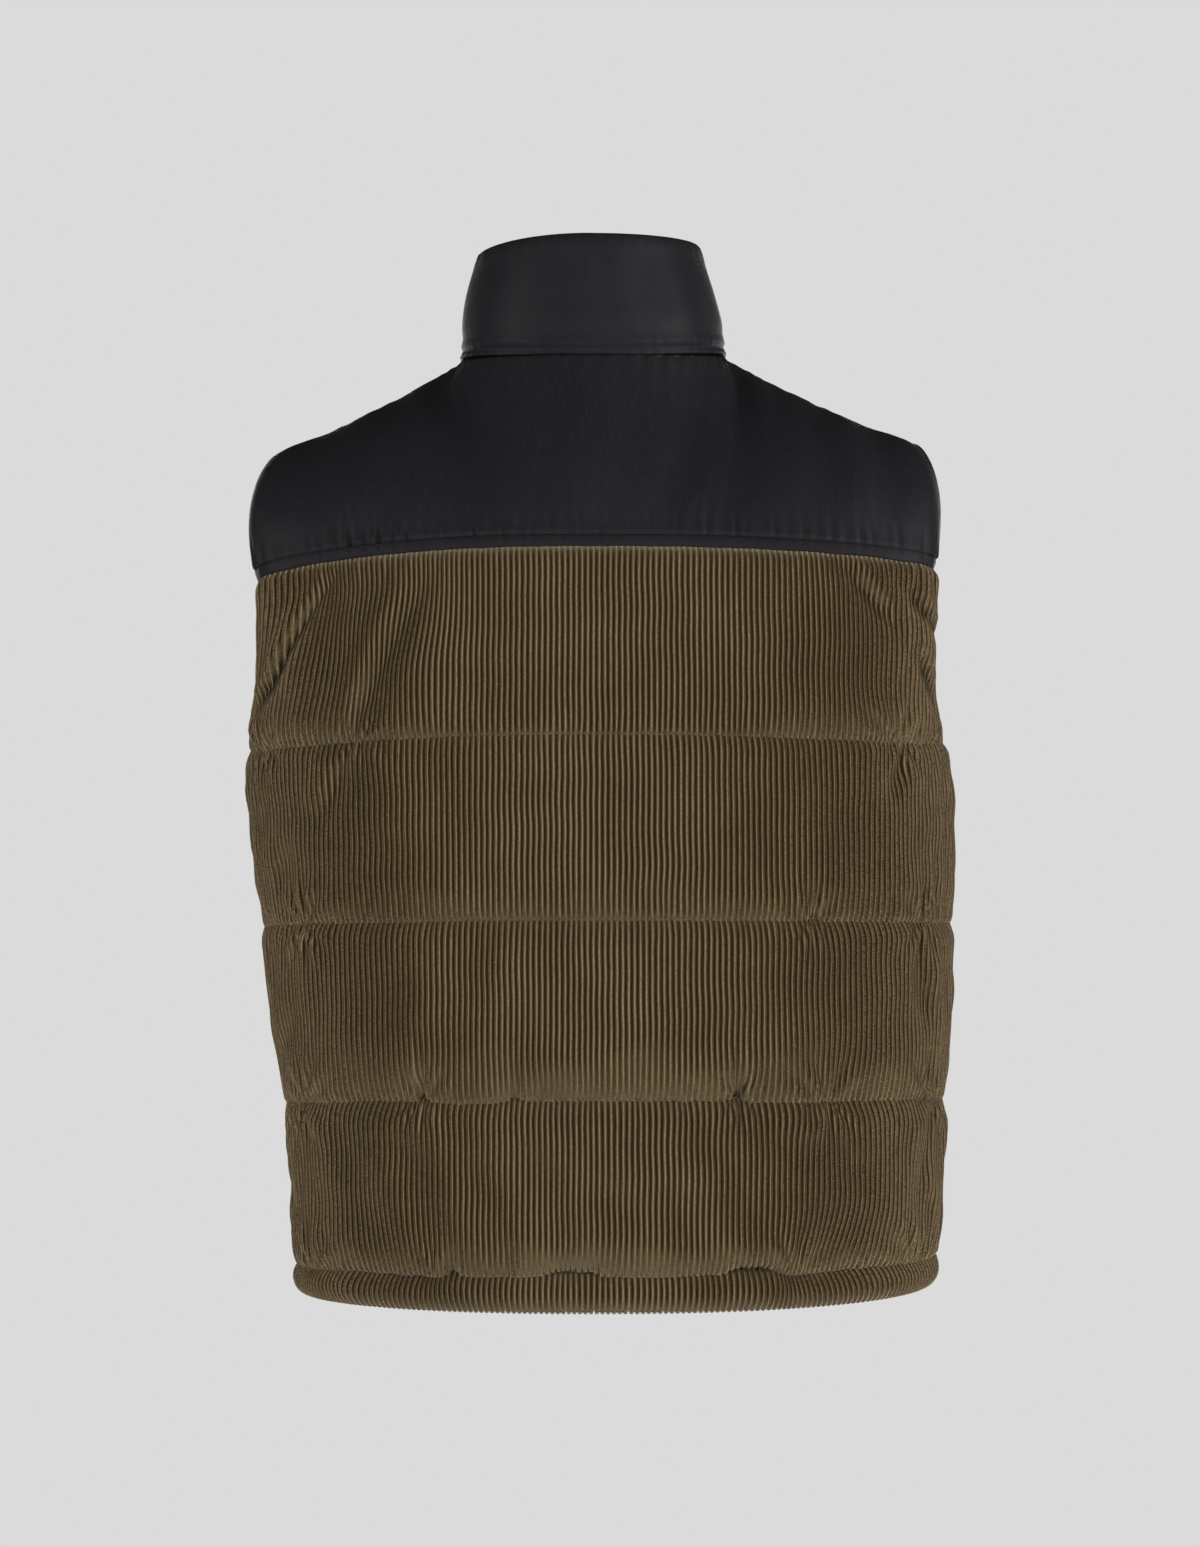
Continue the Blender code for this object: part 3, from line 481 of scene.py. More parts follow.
# ================================================================ form of the vest
def smooth_table(at, rows, name):
    """A column of a table read at `at` along a smooth curve through its rows."""
    keys = np.array([row[0] for row in rows])
    values = np.array([getattr(row, name) for row in rows])
    slopes = np.gradient(values, keys)
    at = np.clip(at, keys[0], keys[-1])
    i = np.clip(np.searchsorted(keys, at) - 1, 0, len(keys) - 2)
    span = keys[i + 1] - keys[i]
    t = (at - keys[i]) / span
    rise = values[i] * (2 * t**3 - 3 * t**2 + 1) + values[i + 1] * (3 * t**2 - 2 * t**3)
    return rise + span * (slopes[i] * (t**3 - 2 * t**2 + t) + slopes[i + 1] * (t**3 - t**2))


def ramp(value, span, start=0):
    """0 up to the start, 1 from a span past it."""
    return np.clip((value - start) / span, 0, 1)


def bell(off, reach, power=2):
    """1 at 0, falling away within a reach on both sides."""
    return np.exp(-(np.abs(off / reach) ** power))


def cosine_shares(count):
    """Shares from 0 to 1 that lie closer together at both ends."""
    return (1 - np.cos(np.linspace(0, math.pi, count + 1))) / 2


def unit(vectors):
    return vectors / np.maximum(np.linalg.norm(vectors, axis=-1, keepdims=True), 1e-12)


def distances(points):
    """How far each point lies along its path; paths run down the first axis."""
    steps = np.linalg.norm(np.diff(points, axis=0), axis=-1)
    return np.concatenate([np.zeros_like(steps[:1]), np.cumsum(steps, axis=0)])


def points_at(at, keys, points):
    """Points of a path at these keys."""
    return np.stack([np.interp(at, keys, column) for column in points.T], axis=-1)


def line_height(line, station):
    """Height of a seam or quilting line at stations from -1 (left end) to 1 (right end)."""
    end = np.where(station < 0, line.left, line.right)
    return line.middle + (end - line.middle) * np.abs(station) ** LINE_DROP_POWER


def armhole_inset(height, station, face):
    """How far a row's side ends stand off the side plane: the gap, or the armhole's curve."""
    bottom = np.where(station < 0, UNDERARM.left, UNDERARM.right)
    ends = np.where(station < 0, height[np.argmin(station)], height[np.argmax(station)])
    t = np.clip((2 * ends - ARMHOLE_TOP - bottom) / (ARMHOLE_TOP - bottom), -1, 1)
    return SEAM_GAP / 2 + ARMHOLE_REACH[face] * np.sqrt(1 - t * t)


def section_sizes(face, station, height):
    """Width, inset, depth and squareness of the inside at points of one row."""
    sides = [smooth_table(height, SECTIONS, side) for side in ("left", "right")]
    depth = smooth_table(height, SECTIONS, "back" if face == BACK else "front")
    square = smooth_table(height, SECTIONS, "square")
    return np.where(station < 0, *sides), armhole_inset(height, station, face), depth, square


def quarter_arc(width, depth, square):
    """Angles of a quarter section and the length of cloth up to each."""
    angle = cosine_shares(SAMPLES_ARC) * math.pi / 2
    x = width * np.sin(angle) ** (2 / square)
    y = depth * np.cos(angle) ** (2 / square)
    return angle, np.concatenate([[0], np.cumsum(np.hypot(np.diff(x), np.diff(y)))])


def section_row(face, station, height):
    """One row of points of the body's inside."""
    width, inset, depth, square = section_sizes(face, station, height)
    angle, length = quarter_arc(np.mean(width), np.mean(depth - inset), np.mean(square))
    here = np.interp(np.abs(station), length / length[-1], angle)
    x = width * np.sin(here) ** (2 / square)
    y = inset + (depth - inset) * np.cos(here) ** (2 / square)
    return np.stack([np.sign(station) * x, face * y, height], axis=-1)


def row_length(face, side, height_at):
    """Cloth from the middle of a row to its side end."""
    station = side * np.linspace(0, 1, SAMPLES_ROW)
    width, inset, depth, square = section_sizes(face, station, height_at(station))
    return quarter_arc(np.mean(width), np.mean(depth - inset), np.mean(square))[1][-1]


def neck_point(face, angle, side):
    """The neckline's inside, from the middle of the face (0) to the shoulder seam (90 degrees)."""
    width, high = np.where(side < 0, *NECK_WIDTH), np.where(side < 0, *NECK_SIDE)
    height = high + (NECK_MIDDLE[face] - high) * np.clip(np.cos(angle), 0, 1) ** NECK_DROP_POWER
    y = np.maximum(NECK_DEPTH[face] * np.cos(angle), SEAM_GAP / 2)
    return np.stack([side * width * np.sin(angle), face * y, height], axis=-1)


def yoke_top(face, station):
    """The yoke's top edge: neckline, then shoulder seam out to the shoulder tip."""
    side = np.where(station < 0, -1.0, 1.0)
    share = np.abs(station)
    neck = neck_point(face, np.minimum(share / NECK_STATION, 1) * math.pi / 2, side)
    t = ramp(share, 1 - NECK_STATION, NECK_STATION)
    start, tip, high, low = (
        np.where(side < 0, *pair) for pair in (NECK_WIDTH, SHOULDER_TIP, NECK_SIDE, SHOULDER_TIP_HEIGHT)
    )
    height = high + (low - high) * t - SHOULDER_SAG * 4 * t * (1 - t)
    y = np.full_like(t, face * SEAM_GAP / 2)
    shoulder = np.stack([side * (start + (tip - start) * t), y, height], axis=-1)
    return np.where((share <= NECK_STATION)[..., None], neck, shoulder)


def yoke_ribs(face, station, rises):
    """The yoke's inside along its ribs, from 0 at the yoke seam to 1 at its top edge."""
    seam = line_height(LINES[face][-1], station) + YOKE_SEAM_GAP - SEAM_GAP / 2
    share = np.abs(station)
    side = np.where(station < 0, -1.0, 1.0)
    lift, reach, inward, forward, up, swelling = (
        smooth_table(share, RIBS[face], name) for name in RIB.split()[1:]
    )
    start = section_row(face, station, seam)
    slope = unit(section_row(face, station, seam + SLOPE_STEP) - start)
    end = yoke_top(face, station)
    blend = TOP_BLEND * (1 + NECK_BLEND * bell(share - NECK_STATION, NECK_BLEND_REACH))
    shifts = [np.clip(station + shift * blend, -1, 1) for shift in np.linspace(-1, 1, BLEND_SAMPLES)]
    eased = np.mean([yoke_top(face, shifted) for shifted in shifts], axis=0)
    arrival = unit(np.stack([-side * inward, -face * forward, up], axis=-1))
    swell = np.zeros_like(start)
    swell[..., 0] = side * swelling
    low = start + slope * lift[..., None] + swell
    high = eased - arrival * reach[..., None] + swell / 2
    t = rises[:, None, None]
    return start * (1 - t) ** 3 + 3 * low * t * (1 - t) ** 2 + 3 * high * t**2 * (1 - t) + end * t**3


def collar_points(face, angle, side, share):
    """Points of the collar's inside at a share of its height."""
    base = neck_point(face, angle, side)
    seat = COLLAR_SEAT[face]
    base[..., 2] += seat + (COLLAR_SEAT_SIDE - seat) * np.sin(angle) ** 2
    drop = np.clip(np.cos(angle), 0, 1) ** NECK_DROP_POWER
    top_side = COLLAR_TOP_SIDE[0 if side < 0 else 1]
    top = top_side + (COLLAR_TOP[face] - top_side) * drop
    width = smooth_table(share, COLLAR_ROWS, "left" if side < 0 else "right")
    lean = COLLAR_LEAN * share * (np.sin(angle) if face == FRONT else 1)
    depth_share = 1 - (1 - width) * COLLAR_DEPTH[face]
    x = side * (ZIP_HALF + (np.abs(base[..., 0]) - ZIP_HALF) * width) - lean
    return np.stack([x, base[..., 1] * depth_share, base[..., 2] + (top - base[..., 2]) * share], axis=-1)


def front_station(height):
    """The station of the front's zip edge."""
    width = smooth_table(height, SECTIONS, "right")
    depth = smooth_table(height, SECTIONS, "front")
    return ZIP_HALF / (0.5 * math.pi * np.sqrt((width**2 + depth**2) / 2))


def meet_zip(points, face, side):
    """Sets the edge of a front on its zip."""
    if face == FRONT:
        points[:, 0 if side > 0 else -1, 0] = side * ZIP_HALF


def band_rows(band, spacing):
    """Rows of points of a band, given by a function from a column's length to distances along
    it; the distances of each point and the lengths."""
    fine = np.linspace(0, 1, len(band))
    length = distances(band)
    points, above = [], []
    for column in range(band.shape[1]):
        at = spacing(length[-1, column])
        share = np.interp(at, length[:, column], fine)
        points.append(points_at(share, fine, band[:, column]))
        above.append(at)
    return np.stack(points, axis=1), np.stack(above, axis=1), length[-1]


# ================================================================ relief of the cloth
def arch(share):
    """A quarter round: 0 at 0 with a steep start, 1 from 1 on."""
    return np.sqrt(1 - (1 - np.clip(share, 0, 1)) ** 2)


def ease(share):
    """A soft shoulder: 0 at 0 with a slope of 2, 1 from 1 on."""
    return 1 - (1 - np.clip(share, 0, 1)) ** 2


def toward_side(middle, side, station):
    return middle + (side - middle) * np.abs(station) ** SIDE_POWER


def across(station, side_fill, face):
    """Padding across a panel: it thins to its side edges and, on a front, to the zip."""
    ends = 1 - (1 - side_fill) * np.abs(station) ** EDGE_POWER
    if face == FRONT:
        ends = ends * np.clip(ZIP_EDGE_FILL + np.abs(station) / ZIP_EDGE_STATIONS, 0, 1)
    return ends


def waves(wave, at, drift_at=0, number=0):
    """Uneven waves along `at` that drift with `drift_at`; each number has its own."""
    rng = np.random.default_rng(wave.seed + number)
    total = np.zeros(np.broadcast(at, drift_at).shape)
    for _ in range(WAVE_SINES):
        scale = rng.uniform(*WAVE_LENGTHS) * wave.length
        turn, drift = rng.uniform(0, 2 * math.pi), rng.uniform(*WAVE_DRIFTS)
        total += np.sin(2 * math.pi * (at + drift * drift_at) / scale + turn)
    return wave.height * total / WAVE_SUM


def crease_depth(creases, cloth, height):
    """How far the creases press the cloth in, or roll it out where negative."""
    total = np.zeros_like(cloth)
    point = np.stack([cloth, height], axis=-1)
    for crease in creases:
        near = np.full(cloth.shape, np.inf)
        side, along = np.zeros_like(cloth), np.zeros_like(cloth)
        route = np.array(crease.route)
        for number, (a, b) in enumerate(zip(route, route[1:])):
            step = b - a
            share = np.clip((point - a) @ step / (step @ step), 0, 1)
            off = point - a - share[..., None] * step
            far = np.linalg.norm(off, axis=-1)
            closer = far < near
            near = np.where(closer, far, near)
            side = np.where(closer, np.sign(step[0] * off[..., 1] - step[1] * off[..., 0]), side)
            along = np.where(closer, number + share, along)
        taper = np.sin(math.pi * np.clip(along / (len(route) - 1), *CREASE_ENDS)) ** CREASE_TAPER
        off = near * side / crease.half_width
        total += taper * (crease.depth * bell(off, 1) - crease.lip * bell(off - LIP_PLACE, 1))
    return total


def drift_at(face, cloth, height):
    total = np.zeros_like(cloth)
    for spot in DRIFTS[face]:
        off = ((cloth - spot.cloth) / spot.wide) ** 2 + ((height - spot.height) / spot.tall) ** 2
        total += spot.shift * np.exp(-off)
    return total


def seam_drift(face, cloth, station, height):
    """How far the stitching of each line draws the wales beside it together."""
    total = np.zeros_like(cloth)
    tight = DRAW + DRAW_SIDE * station**2
    for number, line in enumerate(LINES[face][:-1]):
        off = height - line_height(line, station)
        total += tight * np.exp(-np.abs(off) / DRAW_REACH) * waves(SEAM_DRIFT, cloth, 0, number)
        for pinch in PINCHES[face]:
            if pinch.line == number:
                away, reach = cloth - pinch.cloth, PINCH_DRAW_END * pinch.reach
                total -= pinch.draw * away * np.exp(-(away**2 + off**2) / reach**2)
    return total


def pinch_folds(face, line, cloth, off):
    """Folds that fan out of the pinches of a line, at these distances above or below it."""
    total = np.zeros_like(cloth)
    for number, pinch in enumerate(PINCHES[face]):
        if pinch.line == line:
            far = np.hypot(cloth - pinch.cloth, off) / pinch.reach
            turn = np.arctan2(off, cloth - pinch.cloth)
            uneven = PINCH_UNEVEN * np.sin(2 * turn + number)
            folds = np.cos(PINCH_FOLDS * turn + PINCH_TURN * number + uneven)
            total += pinch.depth * far * np.exp(1 - far) * folds * np.clip(PINCH_END - far, 0, 1)
    return total


def bulge_at(face, line, cloth, name):
    spots = [bulge for bulge in BULGES[face] if bulge.line == line]
    return sum((getattr(b, name) * bell(cloth - b.cloth, b.half_width, 3) for b in spots), 0 * cloth)


def baffle_wall(face, baffle, station, cloth, height):
    """Wall of one row of a baffle, and how far its cloth sags."""
    low_line, high_line = LINES[face][baffle : baffle + 2]
    low, high = PULLS[baffle : baffle + 2]
    above = height - line_height(low_line, station)
    below = line_height(high_line, station) - height
    slack = bulge_at(face, baffle, cloth, "sag")
    gap = GAP_SHARE * np.maximum(-slack - GAP_START, 0)
    lift, fall = arch(np.maximum(above - gap, 0) / low.above), ease(below / high.below)
    full = lift * fall
    crown = toward_side(*BAFFLES[baffle], station)
    crown = EDGE_WALL + (crown - EDGE_WALL) * across(station, BODY_SIDE_FILL, face)
    crown += full * waves(SWELL_ACROSS, cloth, height, baffle)
    crown += full * waves(SWELL_UP, height, cloth, baffle)
    crown -= full * crease_depth(CREASES[face], cloth, height)
    loose = SIDE_LOOSE[baffle] * ramp(np.abs(station), SIDE_SPAN, SIDE_START) ** SIDE_LOOSE_POWER
    crown += full * loose * waves(SIDE_WRINKLES, cloth, height, baffle)
    near_low, near_high = np.exp(-above / LINE_REACH), np.exp(-below / LINE_REACH)
    tight = GATHER + GATHER_SIDE * np.abs(station) ** 3
    gathers = tight * near_low * waves(GATHERS_ABOVE, cloth, above, baffle)
    gathers += tight * near_high * waves(GATHERS_BELOW, cloth, below, baffle)
    gathers += pinch_folds(face, baffle, cloth, above) + pinch_folds(face, baffle + 1, cloth, -below)
    at_low, at_high = (toward_side(pull.middle, pull.side, station) for pull in (low, high))
    wall = crown * full + at_low * (1 - lift) + at_high * (1 - fall)
    wall += gathers * full + bulge_at(face, baffle, cloth, "swell") * near_low * lift * SWELL_GAIN
    sag = low.sag + waves(SAG_WAVES, cloth, 0, baffle) + np.maximum(slack, -low.sag)
    sag = sag * (1 - SIDE_SAG_LOSS * np.abs(station) ** EDGE_POWER) * (low.sag > 0)
    lag = above / SAG_HEIGHT
    return np.maximum(wall, LEAST_WALL), sag * lag * np.exp(1 - lag)


def hem_wall(face, share, station, cloth, height):
    """Wall of one row of the hem tube, which doesn't sag."""
    full = HEM_CROWN + waves(HEM_WAVES, cloth, share * HEM_WAVE_DRIFT)
    round_section = np.sin(math.pi * np.clip(share, *HEM_ENDS)) ** HEM_POWERS[0 if share < 0.5 else 1]
    wall = LEAST_WALL + (full - LEAST_WALL) * round_section * across(station, HEM_SIDE_FILL, face)
    return wall, np.zeros_like(height)


def grid_normals(points, face=BACK):
    """Outward normals of a grid whose columns run towards +X on this face and whose rows run up."""
    return unit(-face * np.cross(np.gradient(points, axis=1), np.gradient(points, axis=0)))


def soften(vectors, reach=SOFTEN_REACH):
    """Directions averaged along each row of a grid, so that its outside turns gently."""
    padded = np.pad(vectors, ((0, 0), (reach, reach), (0, 0)), mode="edge")
    count = vectors.shape[1]
    return unit(sum(padded[:, i : i + count] for i in range(2 * reach + 1)))


# ================================================================ meshes
# A grid of a shell: points, station and pattern coordinates of its vertices, and the first and
# last column that each row keeps.
Grid = namedtuple("Grid", "points station pattern first last")


def whole_grid(points, station, pattern):
    rows, columns = points.shape[:2]
    station = np.broadcast_to(station, (rows, columns))
    return Grid(points, station, pattern, [0] * rows, [columns - 1] * rows)


def pattern_at(x, y):
    """Pattern coordinates of a grid from those across and those along it."""
    return np.stack(np.broadcast_arrays(x, y), axis=-1)


def ladder(low, high):
    """Triangles between two rows, given as (vertices, stations), stepping on the one that lags."""
    (low, low_at), (high, high_at) = low, high
    faces = []
    i = j = 0
    while i < len(low) - 1 or j < len(high) - 1:
        if j == len(high) - 1 or (i < len(low) - 1 and low_at[i + 1] <= high_at[j + 1]):
            faces.append((low[i], low[i + 1], high[j]))
            i += 1
        else:
            faces.append((low[i], high[j + 1], high[j]))
            j += 1
    return faces


def numbered(grid, start):
    """Vertex numbers of the grid's kept points, -1 elsewhere."""
    numbers = np.full(grid.points.shape[:2], -1)
    column = np.arange(grid.points.shape[1])
    kept = (column >= np.array(grid.first)[:, None]) & (column <= np.array(grid.last)[:, None])
    numbers[kept] = start + np.arange(kept.sum())
    return numbers, kept


def row_part(grid, numbers, row, start=0, end=math.inf):
    """Vertices and stations of a row between two columns, as far as the row keeps them."""
    span = slice(max(start, grid.first[row]), min(end, grid.last[row]) + 1)
    return numbers[row, span].tolist(), grid.station[row, span]


def sheet_faces(grid, numbers):
    """Quads between the rows of a grid, and triangles where one row reaches further."""
    faces = []
    for r in range(len(grid.first) - 1):
        a, b = max(grid.first[r : r + 2]), min(grid.last[r : r + 2])
        low, high = numbers[r, a : b + 1], numbers[r + 1, a : b + 1]
        faces.extend(np.stack([low[:-1], low[1:], high[1:], high[:-1]], axis=-1).tolist())
        for start, end in ((min(grid.first[r : r + 2]), a), (b, max(grid.last[r : r + 2]))):
            faces.extend(ladder(*(row_part(grid, numbers, row, start, end) for row in (r, r + 1))))
    return faces


def shell_mesh(name, outer, inner, face=BACK, **tones):
    """A closed shell between two grids with as many rows. Its tones are values on the outer grid,
    and its inner sheet wears the second material if it has tones."""
    outside, outer_kept = numbered(outer, 0)
    inside, inner_kept = numbered(inner, int(outer_kept.sum()))
    sheets = [sheet_faces(outer, outside), [f[::-1] for f in sheet_faces(inner, inside)]]
    border = [
        ladder(row_part(inner, inside, 0), row_part(outer, outside, 0)),
        ladder(row_part(outer, outside, -1), row_part(inner, inside, -1)),
    ]
    for ends, turn in (("first", 1), ("last", -1)):
        out = [int(outside[r, c]) for r, c in enumerate(getattr(outer, ends))]
        ins = [int(inside[r, c]) for r, c in enumerate(getattr(inner, ends))]
        border.append([(out[r], out[r + 1], ins[r + 1], ins[r])[::turn] for r in range(len(out) - 1)])
    groups = sheets + border
    points = np.concatenate([outer.points[outer_kept], inner.points[inner_kept]])
    mesh = bpy.data.meshes.new(name)
    mesh.from_pydata(points.tolist(), [], [f for group in groups for f in group])
    add_maps(mesh, [len(group) for group in groups], outer, inner, outer_kept, inner_kept)
    for label, values in tones.items():
        tone = np.zeros(len(points))
        tone[: outer_kept.sum()] = values[outer_kept]
        mesh.attributes.new(label, "FLOAT", "POINT").data.foreach_set("value", tone)
    if tones:
        wears = np.zeros(len(mesh.polygons), int)
        wears[len(sheets[0]) : len(sheets[0]) + len(sheets[1])] = 1
        mesh.polygons.foreach_set("material_index", wears)
    if face == FRONT:
        mesh.flip_normals()
    mesh.shade_smooth()
    return mesh


# Fields of the baking map as (x, y, width, height): the outside, the inside, and a strip for each
# border from the third group on.
MAP_FIELDS = ((0.01, 0.30, 0.98, 0.69), (0.01, 0.01, 0.60, 0.27))
STRIP_X, STRIP_WIDTH, STRIP_Y, STRIP_STEP, STRIP_HEIGHT = 0.63, 0.35, 0.02, 0.06, 0.035


def add_maps(mesh, counts, outer, inner, outer_kept, inner_kept):
    """The pattern map, and a baking map with a field each for outside, inside and four borders."""
    pattern = np.concatenate([outer.pattern[outer_kept], inner.pattern[inner_kept]])
    loops = np.empty(len(mesh.loops), int)
    mesh.loops.foreach_get("vertex_index", loops)
    sizes = np.empty(len(mesh.polygons), int)
    mesh.polygons.foreach_get("loop_total", sizes)
    group = np.repeat(np.repeat(np.arange(len(counts)), counts), sizes)
    spread = []
    for grid, kept in ((outer, outer_kept), (inner, inner_kept)):
        rows = np.linspace(0, 1, len(grid.first))[:, None] + 0 * grid.station
        low, high = grid.station[kept].min(), grid.station[kept].max()
        spread.append(np.stack([(grid.station - low) / (high - low), rows], axis=-1)[kept])
    spread = np.concatenate(spread)[loops]
    on_outer = loops < outer_kept.sum()
    place = np.zeros((len(loops), 2))
    for number in range(len(counts)):
        here = group == number
        if number < len(MAP_FIELDS):
            x, y, width, height = MAP_FIELDS[number]
            place[here] = (x, y) + spread[here] * (width, height)
        else:
            run = spread[here][:, 0 if number < 4 else 1]
            y = STRIP_Y + STRIP_STEP * (number - len(MAP_FIELDS)) + STRIP_HEIGHT * on_outer[here]
            place[here] = np.stack([STRIP_X + STRIP_WIDTH * run, y], axis=-1)
    for name, values in (("Cloth", pattern[loops]), ("OFBake", place)):
        mesh.uv_layers.new(name=name).data.foreach_set("uv", values.ravel())


def add_piece(name, mesh, materials, body):
    """Links a finished mesh as a piece that rides on a body."""
    for material in materials:
        mesh.materials.append(material)
    piece = bpy.data.objects.new(name, mesh)
    bpy.context.scene.collection.objects.link(piece)
    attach(piece, body)
    return piece


# ================================================================ corduroy
def wale_columns(pitch, start, end):
    """Cloth distances of the mesh columns between two threads, a few across each wale."""
    wales = range(math.floor(start / pitch), math.ceil(end / pitch) + 1)
    columns = np.array([(wale + phase) * pitch for wale in wales for phase in WALE_PHASES])
    return columns[(columns > start) & (columns < end)]


def panel_columns(face, side, pitch):
    if face == BACK:
        return wale_columns(pitch, -PANEL_REACH, PANEL_REACH)
    columns = np.concatenate([[ZIP_HALF], wale_columns(pitch, ZIP_HALF + pitch * WALE_GAP, PANEL_REACH)])
    return columns if side > 0 else -columns[::-1]


def lay_rows(face, side, columns, heights):
    """Inside points where each row crosses the columns, and their distances along the row. A row
    ends at its side edges: columns past them fold onto the edge, and only the first is kept."""
    points, stations, laid, first, last = [], [], [], [], []
    for height_at in heights:
        limit = np.where(columns < 0, row_length(face, -1, height_at), row_length(face, 1, height_at))
        guess = np.clip(columns / limit, -1, 1)
        at = height_at(guess)
        cloth = columns + waves(WALE_WANDER, at, columns)
        cloth += drift_at(face, columns, at)
        cloth += seam_drift(face, columns, guess, at)
        over = np.abs(cloth) > limit - SIDE_MARGIN
        station = np.where(over, np.sign(columns), cloth / limit)
        points.append(section_row(face, station, height_at(station)))
        stations.append(station)
        laid.append(station * limit)
        within = np.flatnonzero(~over)
        first.append(max(within[0] - 1, 0))
        last.append(min(within[-1] + 1, len(columns) - 1))
    points = np.array(points)
    meet_zip(points, face, side)
    return points, np.array(stations), np.array(laid), first, last


def height_between(low, high, share):
    """The height of a row between two lines as a function of station, just clear of both."""
    clear = SEAM_GAP / 2 * (1 - 2 * share)
    return lambda at: line_height(low, at) * (1 - share) + line_height(high, at) * share + clear


def corduroy_shell(name, face, side, heights, walls, settings, nap=1.0):
    """A corduroy panel whose outer sheet carries its wales, with a painted sheen where its cloth
    faces down and painted shade where a seam draws it in."""
    pitch = settings.wale_pitch
    columns = panel_columns(face, side, pitch)
    points, station, laid, first, last = lay_rows(face, side, columns, heights)
    made = [wall_at(station[row], laid[row], points[row, :, 2]) for row, wall_at in enumerate(walls)]
    wall, sag = (np.array(part) for part in zip(*made))
    outside = points + grid_normals(points, face) * wall[..., None]
    outside[..., 2] -= sag
    normals = grid_normals(outside, face)
    relief = np.interp((columns / pitch) % 1, WALE_PHASES, WALE_RELIEF) * settings.wale_height
    under_yoke = line_height(LINES[face][-1], station) - points[..., 2]
    pressed = np.clip((under_yoke - FOLD_COVER) / FOLD_PRESS, PRESSED_LEAST, 1)
    outside += normals * (relief * pressed * np.where(np.abs(station) < 1, 1, EDGE_RELIEF))[..., None]
    pattern = pattern_at(columns / pitch, points[..., 2])
    for row in range(len(heights)):
        for end, beside in ((first[row], first[row] + 1), (last[row], last[row] - 1)):
            beyond = laid[row, end] - laid[row, beside]
            pattern[row, end, 0] = (columns[beside] + beyond) / pitch
    outer = Grid(outside, station, pattern, first, last)
    inner = inside_grid(face, side, heights, pitch)
    # Painted sheen: cloth that faces down is painted paler, except where its wall is thin
    open_to_light = ramp(wall, OPEN_SPAN, OPEN_WALL)
    # Painted shade: cloth drawn thin into a seam is painted darker
    tuck = np.clip((SEAM_SHADE_WALL - wall) / SEAM_SHADE_SPAN, 0, SEAM_SHADE_MOST)
    return shell_mesh(name, outer, inner, face, nap=-normals[..., 2] * nap * open_to_light, tuck=tuck)


def stations_from(start, side, count):
    """Stations from a front's zip, or across the whole back, to the side edge."""
    station = np.linspace(start, 1, count + 1)
    return station if side >= 0 else -station[::-1]


def inside_grid(face, side, heights, pitch):
    """The plain inner sheet of a panel on coarser columns."""
    points, stations = [], []
    for height_at in heights:
        start = -1.0 if face == BACK else float(front_station(height_at(np.zeros(1)))[0])
        station = stations_from(start, side, COLUMNS_INSIDE)
        points.append(section_row(face, station, height_at(station)))
        stations.append(station)
    points = np.array(points)
    meet_zip(points, face, side)
    return whole_grid(points, np.array(stations), pattern_at(points[..., 0] / pitch, points[..., 2]))


def body_panel(name, face, side, settings):
    heights, walls = [], []
    for baffle, (low, high) in enumerate(zip(LINES[face], LINES[face][1:])):
        for share in cosine_shares(ROWS_BAFFLE)[1 if baffle else 0 :]:
            heights.append(height_between(low, high, share))
            walls.append(partial(baffle_wall, face, baffle))
    return corduroy_shell(name, face, side, heights, walls, settings)


def hem_panel(name, face, side, settings):
    shares = cosine_shares(ROWS_HEM)
    heights = [height_between(HEM_BOTTOM, LINES[face][0], share) for share in shares]
    walls = [partial(hem_wall, face, share) for share in shares]
    return corduroy_shell(name, face, side, heights, walls, settings, nap=HEM_PAINTED_SHEEN)


# ================================================================ nylon
def folded_edge(edge, above):
    """Wall and drop of each row of a piece whose lowest rows are a folded edge."""
    wall, drop = np.zeros_like(above), np.zeros_like(above)
    wall[: len(edge)] = [[row.wall] for row in edge]
    drop[: len(edge)] = [[row.drop] for row in edge]
    return wall, drop


